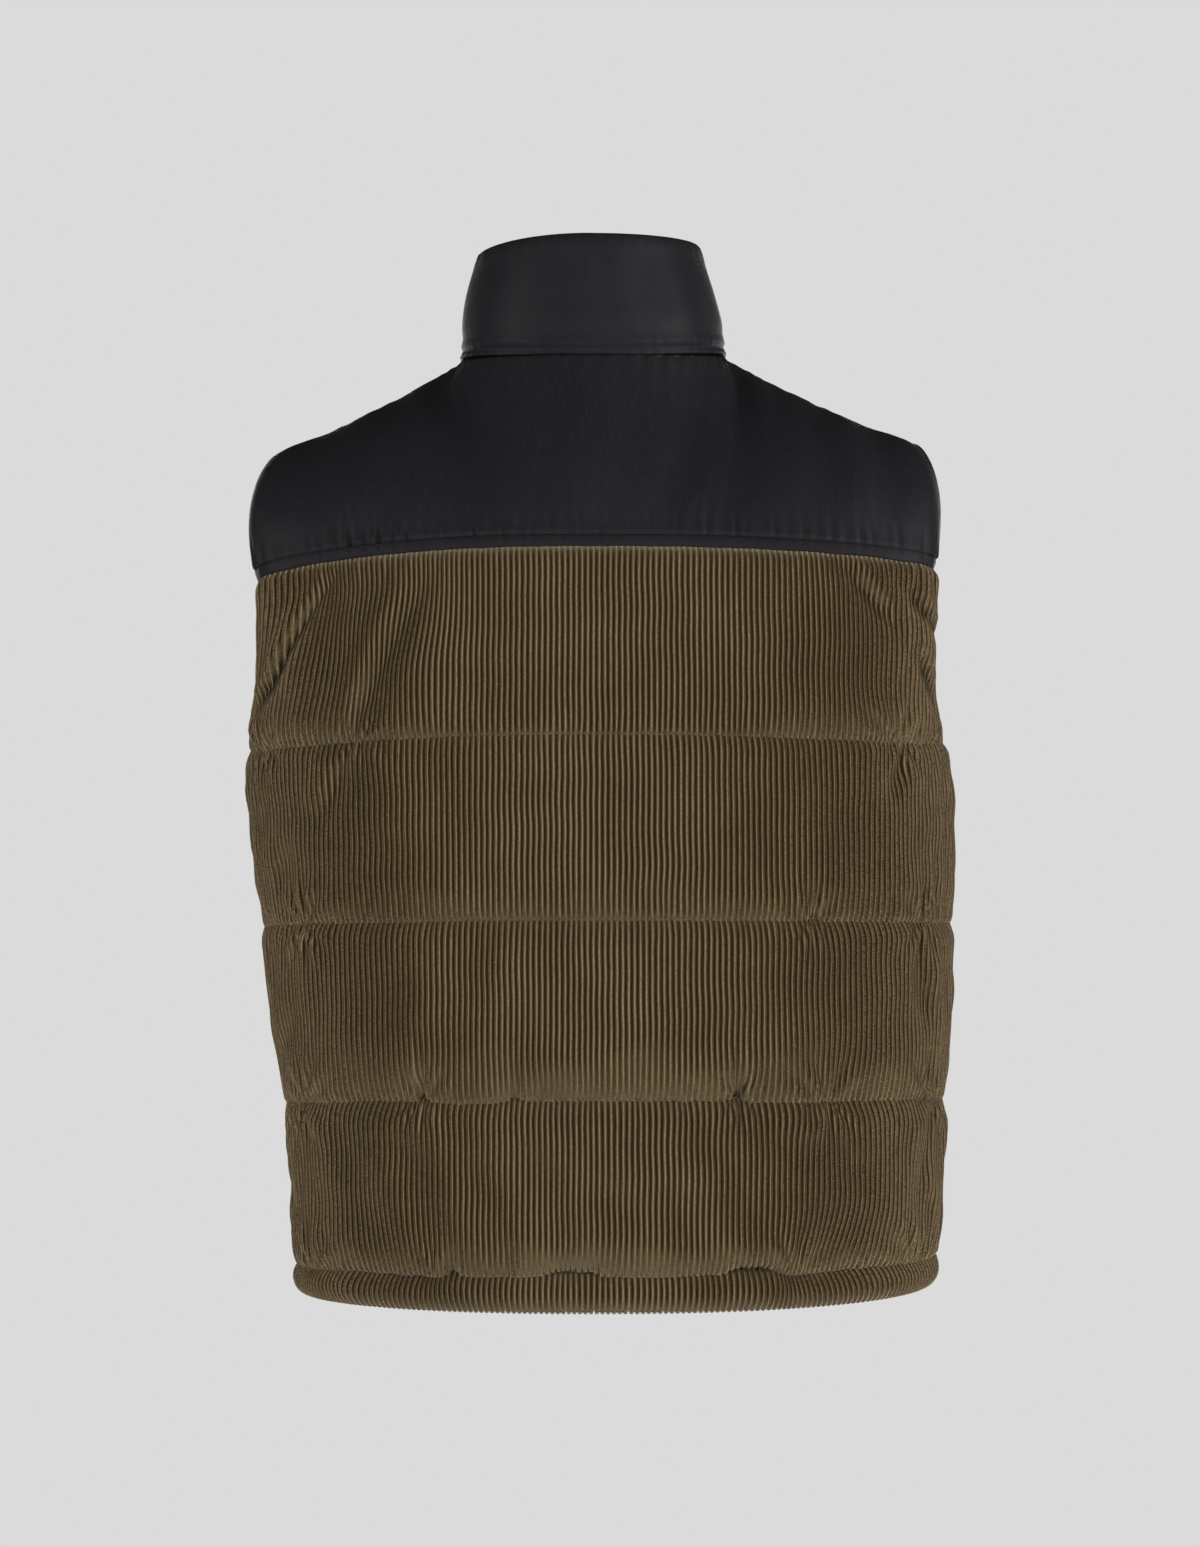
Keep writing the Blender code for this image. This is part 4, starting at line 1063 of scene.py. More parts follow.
def yoke_panel(name, face, side, settings):
    """A nylon yoke with a folded lower edge, puckered along its stitch line."""
    seam = LINES[face][-1]
    if face == BACK:
        station = np.linspace(-1, 1, 2 * COLUMNS_YOKE + 1)
    else:
        station = stations_from(float(front_station(np.array([seam.middle]))[0]), side, COLUMNS_YOKE)
    strip, shares = YOKE_EDGE[-1].rise, cosine_shares(ROWS_YOKE)[1:]
    points, above, whole = band_rows(
        yoke_ribs(face, station, np.linspace(0, 1, SAMPLES_RIB)),
        lambda length: np.concatenate([[row.rise for row in YOKE_EDGE], strip + (length - strip) * shares]),
    )
    meet_zip(points, face, side)
    cloth = station * row_length(face, 1, lambda at: line_height(seam, at))
    wall, drop = folded_edge(YOKE_EDGE, above)
    count = len(YOKE_EDGE)
    share = np.clip(above[count:] / whole, 0, 1)
    full = EDGE_WALL + (YOKE_CROWN - EDGE_WALL) * np.sin(math.pi * share) ** CROWN_POWER
    blend = ramp(above[count:], YOKE_BLEND, strip)
    wall[count:] = YOKE_EDGE[-1].wall * (1 - blend) + full * blend
    wall = EDGE_WALL + (wall - EDGE_WALL) * across(station, YOKE_SIDE_FILL, face)
    wall += yoke_wrinkles(cloth, above, whole, settings.pucker)
    drop[:YOKE_FOLD_ROWS] += waves(YOKE_FOLD, cloth)
    tangent = unit(np.gradient(points, axis=0))
    normals = soften(grid_normals(points, face))
    outside = points + normals * wall[..., None] - tangent * drop[..., None]
    pattern = pattern_at(cloth, above)
    keep = np.unique(np.linspace(0, len(station) - 1, len(station) // INSIDE_STEP + 1).astype(int))
    inner = whole_grid(points[:, keep], station[keep], pattern[:, keep])
    mesh = shell_mesh(name, whole_grid(outside, station, pattern), inner, face)
    lift = grid_normals(outside, face)[YOKE_STITCH_ROW] * settings.thread_lift
    return mesh, outside[YOKE_STITCH_ROW] + lift


def yoke_wrinkles(cloth, above, whole, pucker):
    """Puckers along the stitch line, the neck and the shoulders, and slack in the middle."""
    past, down = above - YOKE_EDGE[YOKE_STITCH_ROW].rise, whole - above
    fade = np.where(past > 0, np.exp(-past / PUCKER_ABOVE), PUCKER_FOLD * np.exp(past / PUCKER_BELOW))
    fade *= ramp(np.abs(past), STITCH_CALM)
    uneven = PUCKER_MEAN + waves(YOKE_UNEVEN, cloth)
    uneven += PUCKER_PEAK * bell(cloth - PUCKER_PEAK_AT, PUCKER_PEAK_HALF)
    puckers = fade * uneven * waves(YOKE_PUCKERS, cloth, 0.5 * above)
    off_top = ramp(down, TOP_CALM)
    neck = off_top * np.exp(-down / NECK_PUCKER_REACH) * bell(cloth, NECK_PUCKER_HALF, 6)
    puckers += neck * waves(NECK_PUCKERS, cloth)
    past_neck = np.clip(np.abs(cloth) / SHOULDER_SPAN - 2, 0, 1)
    shoulder = off_top * np.exp(-down / SHOULDER_PUCKER_REACH) * past_neck
    puckers += shoulder * waves(SHOULDER_PUCKERS, cloth)
    middle = ramp(past, YOKE_SLACK_EDGE) * ramp(down, YOKE_SLACK_EDGE)
    return pucker * puckers + middle * waves(YOKE_SLACK, cloth, 0.6 * above)


def collar_ring():
    """(face, angle, side) of each column of the collar, from its left front end round the back."""
    front = np.linspace(ZIP_ANGLE, math.pi / 2, COLUMNS_COLLAR_QUARTER + 1)
    back = np.linspace(math.pi / 2, 0, COLUMNS_COLLAR_QUARTER + 1)[1:]
    left = [(FRONT, a, -1.0) for a in front] + [(BACK, a, -1.0) for a in back]
    return left + [(face, a, 1.0) for face, a, _ in reversed(left[:-1])]


def collar_spacing(height):
    """Distances of the collar's rows above its base: its fold, its band and its rim."""
    base = COLLAR_EDGE[-1].rise
    band = base + (height - base) * np.linspace(0, 1, ROWS_COLLAR + 1)[1:-1]
    rim = height - np.linspace(RIM_HEIGHT, 0, ROWS_RIM + 1)
    return np.concatenate([[row.rise for row in COLLAR_EDGE], band, rim])


def collar_mesh(name, settings):
    """The stand collar: a padded band with a folded base, rolled over at its top."""
    ring = collar_ring()
    shares = [np.array(share) for share in np.linspace(0, 1, SAMPLES_COLLAR)]
    band = np.array([[collar_points(face, np.array(a), s, t) for face, a, s in ring] for t in shares])
    points, above, tall = band_rows(band, collar_spacing)
    points[:, 0, 0] = -ZIP_HALF
    points[:, -1, 0] = ZIP_HALF
    cloth = distances(points[0])
    station = cloth / cloth[-1] * 2 - 1
    wall, rise = collar_wall(above, tall, cloth, station, settings.pucker)
    tangent = unit(np.gradient(points, axis=0))
    outside = points + grid_normals(points) * wall[..., None] + tangent * rise[..., None]
    pattern = pattern_at(cloth, above)
    seated = points.copy()
    seated[0] = [neck_point(face, np.array(a), s) for face, a, s in ring]
    seated[0, :, 2] -= NECK_LAP
    mesh = shell_mesh(name, whole_grid(outside, station, pattern), whole_grid(seated, station, pattern))
    lift = grid_normals(outside)[COLLAR_STITCH_ROW] * settings.thread_lift
    return mesh, outside[COLLAR_STITCH_ROW] + lift


def collar_wall(above, tall, cloth, station, pucker):
    """Wall of the collar, and how far its fold hangs or its rim rolls up."""
    count, stitch = len(COLLAR_EDGE), COLLAR_EDGE[COLLAR_STITCH_ROW].rise
    past, left, back = above[count:], tall - above, cloth - cloth[-1] / 2
    wall, drop = folded_edge(COLLAR_EDGE, above)
    gap = bell(back - COLLAR_GAP_AT, COLLAR_GAP_HALF, 4) * (1 + waves(COLLAR_GAP, back))
    wall[:count] += COLLAR_GAP_WALL * gap
    drop[:count] *= 1 - COLLAR_GAP_DROP * gap
    full = COLLAR_CROWN * smooth_table(past / tall, COLLAR_ROWS, "fill")
    blend = ramp(past, COLLAR_BLEND, COLLAR_EDGE[-1].rise)
    full = np.maximum(full, COLLAR_EDGE[-1].wall * (1 - blend) + full * blend)
    groove = RIM_GROOVE * bell(left[count:] - RIM_GROOVE_AT, RIM_GROOVE_REACH)
    wall[count:] = np.maximum(full, COLLAR_RIM) - groove
    beside = ramp(np.abs(back), COLLAR_SIDE_SPAN, COLLAR_SIDE_START)
    (full_base, base_reach), (hollow, hollow_reach) = COLLAR_SIDE_BASE, COLLAR_SIDE_HOLLOW
    base = bell(above, base_reach)
    wall += beside * (full_base * base - hollow * (1 - base) * bell(above, hollow_reach))
    turn = np.linspace(0, math.pi / 2, ROWS_RIM + 1)[:, None]
    wall[-ROWS_RIM - 1 :] = COLLAR_RIM * (RIM_TOP + (1 - RIM_TOP) * np.cos(turn))
    drop[-ROWS_RIM - 1 :] = -RIM_ROLL * np.sin(turn)
    wall *= COLLAR_END_FILL + (1 - COLLAR_END_FILL) * arch((1 - np.abs(station)) * COLLAR_END_SLOPE)
    low = np.exp(-np.maximum(above - stitch, 0) / COLLAR_PUCKER_REACH)
    low *= ramp(np.abs(above - stitch), STITCH_CALM)
    wall += (1 - COLLAR_SIDE_CALM * beside) * pucker * low * waves(COLLAR_PUCKERS, cloth, above)
    near_rim = bell(left, RIM_PUCKER_REACH) * (left > RIM_CALM)
    wall += pucker * near_rim * waves(RIM_PUCKERS, cloth, above)
    middle = ramp(above, COLLAR_SLACK_EDGE) * ramp(left, COLLAR_SLACK_EDGE)
    wall += middle * waves(COLLAR_SLACK, cloth, 0.8 * above)
    return wall, -drop


# ================================================================ materials
def add_node(tree, kind, inputs=None, **settings):
    """A node with its settings; each input takes a value or another node's output."""
    node = tree.nodes.new(kind)
    for name, value in settings.items():
        setattr(node, name, value)
    for name, value in (inputs or {}).items():
        if isinstance(value, bpy.types.NodeSocket):
            tree.links.new(value, node.inputs[name])
        else:
            node.inputs[name].default_value = value
    return node


def calculate(tree, operation, *values):
    return add_node(tree, "ShaderNodeMath", dict(enumerate(values)), operation=operation).outputs[0]


def between(tree, value, low, high, to_low=0.0, to_high=1.0):
    """The value eased from one range to another."""
    inputs = {"Value": value, "From Min": low, "From Max": high, "To Min": to_low, "To Max": to_high}
    return add_node(tree, "ShaderNodeMapRange", inputs, interpolation_type="SMOOTHSTEP").outputs[0]


def mix_colours(tree, factor, a, b, blend="MIX"):
    node = add_node(tree, "ShaderNodeMix", {0: factor, 6: a, 7: b}, data_type="RGBA", blend_type=blend)
    return node.outputs[2]


def dyed(tree, colour, tone):
    """A colour that is darker or paler where the tone is."""
    return mix_colours(tree, 1.0, (*colour, 1), tone, "MULTIPLY")


def new_group(name, inputs, output):
    """A shader node group with a place and these numbers as inputs, and its input sockets."""
    tree = bpy.data.node_groups.new(name, "ShaderNodeTree")
    tree.interface.new_socket(name="Place", in_out="INPUT", socket_type="NodeSocketVector")
    for label in inputs:
        tree.interface.new_socket(name=label, in_out="INPUT", socket_type="NodeSocketFloat")
    tree.interface.new_socket(name=output, in_out="OUTPUT", socket_type="NodeSocketFloat")
    return tree, tree.nodes.new("NodeGroupInput").outputs, tree.nodes.new("NodeGroupOutput").inputs


DARKEST = 0.12  # of a colour, where its mottling is deepest


def mottling_group():
    """Uneven dye and lint: a value around 1 that varies over the cloth."""
    tree, given, result = new_group("cloth mottling", ("Scale", "Depth"), "Value")
    inputs = {"Vector": given["Place"], "Scale": given["Scale"], "Detail": 3.0}
    noise = add_node(tree, "ShaderNodeTexNoise", inputs).outputs["Fac"]
    spread = calculate(tree, "MULTIPLY", calculate(tree, "SUBTRACT", noise, 0.5), given["Depth"])
    shown = calculate(tree, "MAXIMUM", calculate(tree, "ADD", spread, 1.0), DARKEST)
    tree.links.new(shown, result["Value"])


def weave_group():
    """A plain weave seen from above: the height of its threads from 0 to 1."""
    tree, given, result = new_group("thread weave", ("Threads",), "Height")
    inputs = {0: given["Place"], "Scale": given["Threads"]}
    scaled = add_node(tree, "ShaderNodeVectorMath", inputs, operation="SCALE").outputs[0]
    axes = add_node(tree, "ShaderNodeSeparateXYZ", {0: scaled}).outputs
    sines = [calculate(tree, "SINE", calculate(tree, "MULTIPLY", axes[i], math.pi)) for i in (0, 1)]
    over = calculate(tree, "MULTIPLY", *sines)
    tree.links.new(calculate(tree, "MULTIPLY_ADD", over, 0.5, 0.5), result["Height"])


def use_group(tree, group, place, **values):
    inputs = {"Place": place} | values
    return add_node(tree, "ShaderNodeGroup", inputs, node_tree=bpy.data.node_groups[group]).outputs[0]


def mottled(tree, place, scale, depth):
    return use_group(tree, "cloth mottling", place, Scale=scale, Depth=depth)


def woven(tree, threads, place):
    return use_group(tree, "thread weave", place, Threads=threads)


def new_material(name, **plain):
    """A material's tree, and its shader with these plain socket values."""
    material = bpy.data.materials.new(name)
    material.use_nodes = True
    shader = material.node_tree.nodes["Principled BSDF"]
    for socket, value in plain.items():
        shader.inputs[socket.replace("_", " ")].default_value = value
    return material, material.node_tree


def finish_material(material, colour, rough, height, distance, strength):
    """Gives a material its varying colour and roughness, and a bump of this height."""
    tree = material.node_tree
    shader = tree.nodes["Principled BSDF"]
    inputs = {"Height": height, "Distance": distance, "Strength": strength}
    normal = add_node(tree, "ShaderNodeBump", inputs).outputs["Normal"]
    for socket, value in (("Base Color", colour), ("Roughness", rough), ("Normal", normal)):
        tree.links.new(value, shader.inputs[socket])
    return material


def object_place(tree):
    return add_node(tree, "ShaderNodeTexCoord").outputs["Object"]


def cloth_axes(tree):
    place = add_node(tree, "ShaderNodeUVMap", uv_map="Cloth").outputs[0]
    return add_node(tree, "ShaderNodeSeparateXYZ", {0: place}).outputs


def cloth_place(tree, across_scale=1.0, along_scale=1.0):
    """The pattern map as a vector with its own scale along each axis."""
    axes = cloth_axes(tree)
    x = calculate(tree, "MULTIPLY", axes[0], across_scale)
    y = calculate(tree, "MULTIPLY", axes[1], along_scale)
    return add_node(tree, "ShaderNodeCombineXYZ", {0: x, 1: y}).outputs[0]


# Scale and depth of the mottling of the pile's tufts, its groove edges, its ground and all of it.
TUFTS, WANDER, WEFT, PATCHES = (1.25, 3.4), (0.9, 0.22), (1.0, 2.2), (22.0, 0.80)
TUFT_ROWS, WEFT_ROWS, WEFT_ACROSS = 850.0, 1100.0, 0.9
GROOVE_EDGE = 0.60  # of half a groove, where its ground is bare
# Painted sheen: the wales' flanks and the cloth that faces down are painted paler
FLANK_SHEEN, SHEEN_PAINT_RANGE = (0.20, 0.33), (0.05, 0.48, 0.0, 0.80)  # ranges over which they turn pale
# Of the pile's colour, in the painted shade of a seam
SEAM_SHADE_TONE = 0.25
PILE_ROUGH, PILE_BUMP, TUFT_BUMP = (0.95, 0.85), (0.00035, 0.8), 0.8
# The same for nylon: its slubs, all of it, its threads and their bump.
SLUBS, SLUB_ROWS, NYLON_PATCHES = (1.0, 0.7), (1400.0, 90.0), (22.0, 0.30)
NYLON_THREADS, NYLON_BUMP = 1700.0, (0.00012, 0.5)


def corduroy_material(settings):
    """Dark pile on lighter ground: the ground shows in the grooves. A painted sheen makes the
    wales' flanks and the cloth that faces down paler, and painted shade darkens its seams."""
    plain = {"Sheen_Weight": 0.78, "Sheen_Roughness": 0.42, "Sheen_Tint": (0.95, 0.79, 0.54, 1)}
    material, tree = new_material("wide wale pile", Specular_IOR_Level=0.05, **plain)
    fine = cloth_place(tree, settings.wale_pitch * 1000, TUFT_ROWS)
    phase = calculate(tree, "FRACT", cloth_axes(tree)[0])
    from_crown = calculate(tree, "ABSOLUTE", calculate(tree, "SUBTRACT", phase, 0.5))
    depth = calculate(tree, "MULTIPLY", from_crown, mottled(tree, fine, *WANDER))
    half = settings.groove_share / 2
    groove = between(tree, depth, 0.5 - half, 0.5 - half * GROOVE_EDGE)
    tufts = mottled(tree, fine, *TUFTS)
    # The paler colour is a painted sheen, on the wales' flanks and where the cloth faces down
    pile, pale = dyed(tree, settings.pile_colour, tufts), dyed(tree, settings.painted_sheen_colour, tufts)
    weft = mottled(tree, cloth_place(tree, WEFT_ACROSS, WEFT_ROWS), *WEFT)
    ground = dyed(tree, settings.groove_colour, weft)
    # Painted sheen: where the cloth faces down its colour is painted paler
    nap = add_node(tree, "ShaderNodeAttribute", attribute_name="nap").outputs["Fac"]
    tuck = add_node(tree, "ShaderNodeAttribute", attribute_name="tuck").outputs["Fac"]
    # Painted sheen: the steep flanks of the wales are painted paler
    flank_sheen = between(tree, from_crown, *FLANK_SHEEN)
    colour = mix_colours(tree, groove, mix_colours(tree, flank_sheen, pile, pale), ground)
    colour = mix_colours(tree, between(tree, nap, *SHEEN_PAINT_RANGE), colour, pale)
    # Painted shade where a seam draws the cloth in
    shaded = (*(SEAM_SHADE_TONE * tone for tone in settings.pile_colour), 1)
    colour = mix_colours(tree, tuck, colour, shaded)
    patches = mottled(tree, object_place(tree), *PATCHES)
    colour = mix_colours(tree, 1.0, colour, patches, "MULTIPLY")
    rough = between(tree, groove, 0.0, 1.0, *PILE_ROUGH)
    height = calculate(tree, "SUBTRACT", calculate(tree, "MULTIPLY", tufts, TUFT_BUMP), groove)
    return finish_material(material, colour, rough, height, *PILE_BUMP)


def nylon_material(settings):
    """Black satin-woven nylon with fine upright threads."""
    material, tree = new_material("satin nylon", Specular_IOR_Level=0.09)
    slubs = mottled(tree, cloth_place(tree, *SLUB_ROWS), *SLUBS)
    weave = woven(tree, NYLON_THREADS, cloth_place(tree))
    patches = mottled(tree, object_place(tree), *NYLON_PATCHES)
    colour = dyed(tree, settings.colour, calculate(tree, "MULTIPLY", slubs, patches))
    rough = calculate(tree, "MULTIPLY", settings.roughness, slubs)
    return finish_material(material, colour, rough, calculate(tree, "ADD", weave, slubs), *NYLON_BUMP)


# Finishes of one colour: plain shader values, scale and depth of the mottling, threads in a metre
# of the weave or 0 for none, roughness as it varies with the relief, and the relief's bump.
Finish = namedtuple("Finish", "plain scale depth threads rough distance strength")
FINISHES = {
    "backing": Finish(dict(Specular_IOR_Level=0.2), 30.0, 0.4, 1400.0, (0.0, 1.0, 0.95, 0.80), 0.0002, 0.6),
    "tape": Finish(
        dict(Specular_IOR_Level=0.25, Sheen_Weight=0.1),
        60.0, 0.5, 1500.0, (0.0, 1.0, 0.9, 0.65), 0.00025, 0.9,
    ),
    "zinc": Finish(dict(Metallic=1.0), 900.0, 1.6, 0, (0.4, 1.6, 0.26, 0.42), 0.00004, 0.5),
    "thread": Finish(dict(Specular_IOR_Level=0.06), 2500.0, 1.2, 0, (0.5, 1.5, 0.55, 0.8), 0.00005, 0.6),
}


def plain_material(name, kind, colour, across_scale=1.0):
    """A material of one colour: woven cloth, rubbed metal or twisted thread."""
    finish = FINISHES[kind]
    material, tree = new_material(name, **finish.plain)
    dye = mottled(tree, object_place(tree), finish.scale, finish.depth)
    relief = woven(tree, finish.threads, cloth_place(tree, across_scale)) if finish.threads else dye
    rough, shown = between(tree, relief, *finish.rough), dyed(tree, colour, dye)
    return finish_material(material, shown, rough, relief, finish.distance, finish.strength)


# ================================================================ geometry nodes
def new_geometry_tree(name, sizes):
    """A Geometry Nodes tree with a geometry, these sizes and a material as inputs."""
    tree = bpy.data.node_groups.new(name, "GeometryNodeTree")
    sockets = [("Geometry", "INPUT", "Geometry"), *((label, "INPUT", "Float") for label in sizes)]
    sockets += [("Material", "INPUT", "Material"), ("Geometry", "OUTPUT", "Geometry")]
    for label, direction, kind in sockets:
        tree.interface.new_socket(name=label, in_out=direction, socket_type="NodeSocket" + kind)
    return tree, tree.nodes.new("NodeGroupInput").outputs


def placed_along(tree, given, shape, scale=None, offset=None):
    """Ends a tree with a shape at every pitch of the path, turned along it, as plain meshes that
    wear the given material."""
    curve = add_node(tree, "GeometryNodeMeshToCurve", {0: given["Geometry"]}).outputs[0]
    inputs = {"Curve": curve, "Length": given["Pitch"]}
    points = add_node(tree, "GeometryNodeResampleCurve", inputs, mode="LENGTH").outputs[0]
    tangent = add_node(tree, "GeometryNodeInputTangent").outputs[0]
    turn = add_node(tree, "FunctionNodeAlignRotationToVector", {"Vector": tangent}, axis="Z").outputs[0]
    if offset:
        inputs = {"Geometry": points, "Offset": offset}
        points = add_node(tree, "GeometryNodeSetPosition", inputs).outputs[0]
    inputs = {"Points": points, "Instance": shape, "Rotation": turn} | ({"Scale": scale} if scale else {})
    placed = add_node(tree, "GeometryNodeInstanceOnPoints", inputs).outputs[0]
    real = add_node(tree, "GeometryNodeRealizeInstances", {0: placed}).outputs[0]
    worn = add_node(tree, "GeometryNodeSetMaterial", {"Geometry": real, "Material": given["Material"]})
    tree.links.new(worn.outputs[0], tree.nodes.new("NodeGroupOutput").inputs[0])
    return tree


def stitch_tree():
    """Rounded stitches laid end to end along a path."""
    tree, given = new_geometry_tree("stitches", ("Pitch", "Length", "Radius"))
    inputs = {"Segments": STITCH_SEGMENTS, "Rings": STITCH_RINGS, "Radius": 1.0}
    bead = add_node(tree, "GeometryNodeMeshUVSphere", inputs).outputs[0]
    half = calculate(tree, "MULTIPLY", given["Length"], 0.5)
    inputs = {0: given["Radius"], 1: given["Radius"], 2: half}
    return placed_along(tree, given, bead, add_node(tree, "ShaderNodeCombineXYZ", inputs).outputs[0])


def teeth_tree():
    """Zip teeth that reach across the middle from either side in turn."""
    tree, given = new_geometry_tree("zip teeth", ("Pitch", "Width", "Height", "Thickness"))
    odd = calculate(tree, "MODULO", add_node(tree, "GeometryNodeInputIndex").outputs[0], 2.0)
    side = calculate(tree, "MULTIPLY_ADD", odd, 2.0, -1.0)
    shift = calculate(tree, "MULTIPLY", side, calculate(tree, "MULTIPLY", given["Width"], TOOTH_SHIFT))
    offset = add_node(tree, "ShaderNodeCombineXYZ", {0: shift}).outputs[0]
    inputs = {0: given["Width"], 1: given["Thickness"], 2: given["Height"]}
    size = add_node(tree, "ShaderNodeCombineXYZ", inputs).outputs[0]
    shank = add_node(tree, "GeometryNodeMeshCube", {"Size": size}).outputs[0]
    radius = calculate(tree, "MULTIPLY", given["Height"], HEAD_RADIUS)
    depth = calculate(tree, "MULTIPLY", given["Thickness"], HEAD_DEPTH)
    inputs = {"Vertices": TOOTH_SIDES, "Radius": radius, "Depth": depth}
    head = add_node(tree, "GeometryNodeMeshCylinder", inputs).outputs[0]
    inputs = {"Geometry": head, "Rotation": (math.pi / 2, 0, 0)}
    head = add_node(tree, "GeometryNodeTransform", inputs).outputs[0]
    tooth = add_node(tree, "GeometryNodeJoinGeometry", {0: shank})
    tree.links.new(head, tooth.inputs[0])
    return placed_along(tree, given, tooth.outputs[0], offset=offset)


def run_tree(name, tree, paths, sizes, material):
    """Runs a tree along paths and returns its result as a plain mesh."""
    edges, start = [], 0
    for path in paths:
        edges.extend((start + i, start + i + 1) for i in range(len(path) - 1))
        start += len(path)
    route = bpy.data.meshes.new(name + " path")
    route.from_pydata(np.concatenate(paths).tolist(), edges, [])
    carrier = bpy.data.objects.new(name + " path", route)
    bpy.context.scene.collection.objects.link(carrier)
    modifier = carrier.modifiers.new("along", "NODES")
    modifier.node_group = tree
    sockets = {item.name: item.identifier for item in tree.interface.items_tree if item.in_out == "INPUT"}
    for label, value in (*sizes.items(), ("Material", material)):
        modifier[sockets[label]] = value
    bpy.context.view_layer.update()
    graph = bpy.context.evaluated_depsgraph_get()
    mesh = bpy.data.meshes.new_from_object(carrier.evaluated_get(graph))
    carrier.modifiers.remove(modifier)
    bpy.data.objects.remove(carrier)
    bpy.data.meshes.remove(route)
    mesh.shade_smooth()
    return mesh


# ================================================================ zip
def zip_path():
    """The inside of the vest along the middle of the zip, from the hem to the collar's top."""
    seam = LINES[FRONT][-1].middle
    on_body, on_yoke, on_collar = SAMPLES_ZIP
    low = np.linspace(HEM_BOTTOM.middle + TAPE_START, seam, on_body)[:-1]
    body = np.array([section_row(FRONT, np.zeros(1), np.array([height]))[0] for height in low])
    yoke = yoke_ribs(FRONT, front_station(np.array([seam])), np.linspace(0, 1, on_yoke))[:, 0]
    shares = [np.array(share) for share in np.linspace(0, 1, on_collar)]
    collar = np.array([collar_points(FRONT, np.array(ZIP_ANGLE), 1.0, share) for share in shares])
    path = np.concatenate([body, yoke, collar])[:, 1:]
    length = distances(path)
    at = np.linspace(0, length[-1] - TAPE_END, SAMPLES_TAPE)
    path = points_at(at, length, path)
    tangent = unit(np.gradient(path, axis=0))
    return path, np.stack([tangent[:, 1], -tangent[:, 0]], axis=-1), at


def tape_mesh(name, side):
    """One woven tape, thickened along its inner edge where the teeth grip it."""
    path, normal, at = zip_path()
    raised = np.array(TAPE_RAISED) * TAPE_WALL
    x = SEAM_GAP / 2 + np.array(TAPE_ACROSS) * (ZIP_HALF - SEAM_GAP * 1.5)
    if side < 0:
        x, raised = -x[::-1], raised[::-1]
    under = np.zeros((len(path), len(x), 3))
    under[..., 0] = x
    under[..., 1:] = (path + normal * TAPE_LIFT)[:, None]
    over = under.copy()
    over[..., 1:] += normal[:, None] * raised[None, :, None]
    pattern = pattern_at(x, at[:, None])
    outer, inner = (whole_grid(points, x / ZIP_HALF, pattern) for points in (over, under))
    return shell_mesh(name, outer, inner, FRONT)


# ================================================================ settings
def length_setting(name, description, default):
    return FloatProperty(name=name, description=description, default=default, unit="LENGTH", precision=5)


def share_setting(name, description, default):
    return FloatProperty(name=name, description=description, default=default, subtype="FACTOR")


def power_setting(name, description, default):
    return FloatProperty(name=name, description=description, default=default, unit="POWER")


def colour_setting(name, description, default):
    return FloatVectorProperty(name=name, description=description, default=default, subtype="COLOR")


class VestCorduroy(bpy.types.PropertyGroup):
    wale_pitch: length_setting("Wale pitch", "From one groove to the next", 0.00364)
    wale_height: length_setting("Wale height", "Of the pile above its grooves", 0.0023)
    groove_share: share_setting("Groove share", "Of the pitch that shows its ground", 0.24)
    pile_colour: colour_setting("Pile", "Colour of the pile", (0.0175, 0.0066, 0.0006))
    groove_colour: colour_setting("Ground", "Colour in the grooves", (0.460, 0.370, 0.182))
    # Painted sheen: the paler colour painted on the wales' flanks and where the cloth faces down
    painted_sheen_colour: colour_setting("Nap", "Colour where the pile lies towards the eye", (0.126, 0.090, 0.044))
    backing_colour: colour_setting("Backing", "Colour of the cloth's back", (0.050, 0.038, 0.024))


class VestNylon(bpy.types.PropertyGroup):
    colour: colour_setting("Nylon", "Colour of the nylon", (0.0140, 0.0126, 0.0146))
    roughness: share_setting("Roughness", "Of the satin weave", 0.52)
    pucker: length_setting("Pucker", "Height of the puckers at a seam", 0.0015)
    thread_lift: length_setting("Thread lift", "Of the thread above the cloth", 0.00022)


class VestStitches(bpy.types.PropertyGroup):
    pitch: length_setting("Pitch", "From one stitch to the next", 0.0019)
    length: length_setting("Length", "Of one stitch", 0.0013)
    radius: length_setting("Radius", "Of the thread", 0.00034)
    nylon_colour: colour_setting("Black thread", "Thread on the nylon", (0.0030, 0.0030, 0.0036))
    collar_colour: colour_setting("Collar thread", "Thread at the collar's base", (0.030, 0.034, 0.046))


class VestZip(bpy.types.PropertyGroup):
    tooth_pitch: length_setting("Tooth pitch", "From one tooth to the next", 0.0013)
    tooth_width: length_setting("Tooth width", "Across the zip", 0.0030)
    tooth_height: length_setting("Tooth height", "Along the zip", 0.0009)
    tooth_thickness: length_setting("Tooth thickness", "Through the tape", 0.0020)
    tape_colour: colour_setting("Tape", "Colour of the tape", SLOT_COLOURS["zip_tape"])
    metal_colour: colour_setting("Metal", "Colour of the slider", (0.11, 0.11, 0.115))


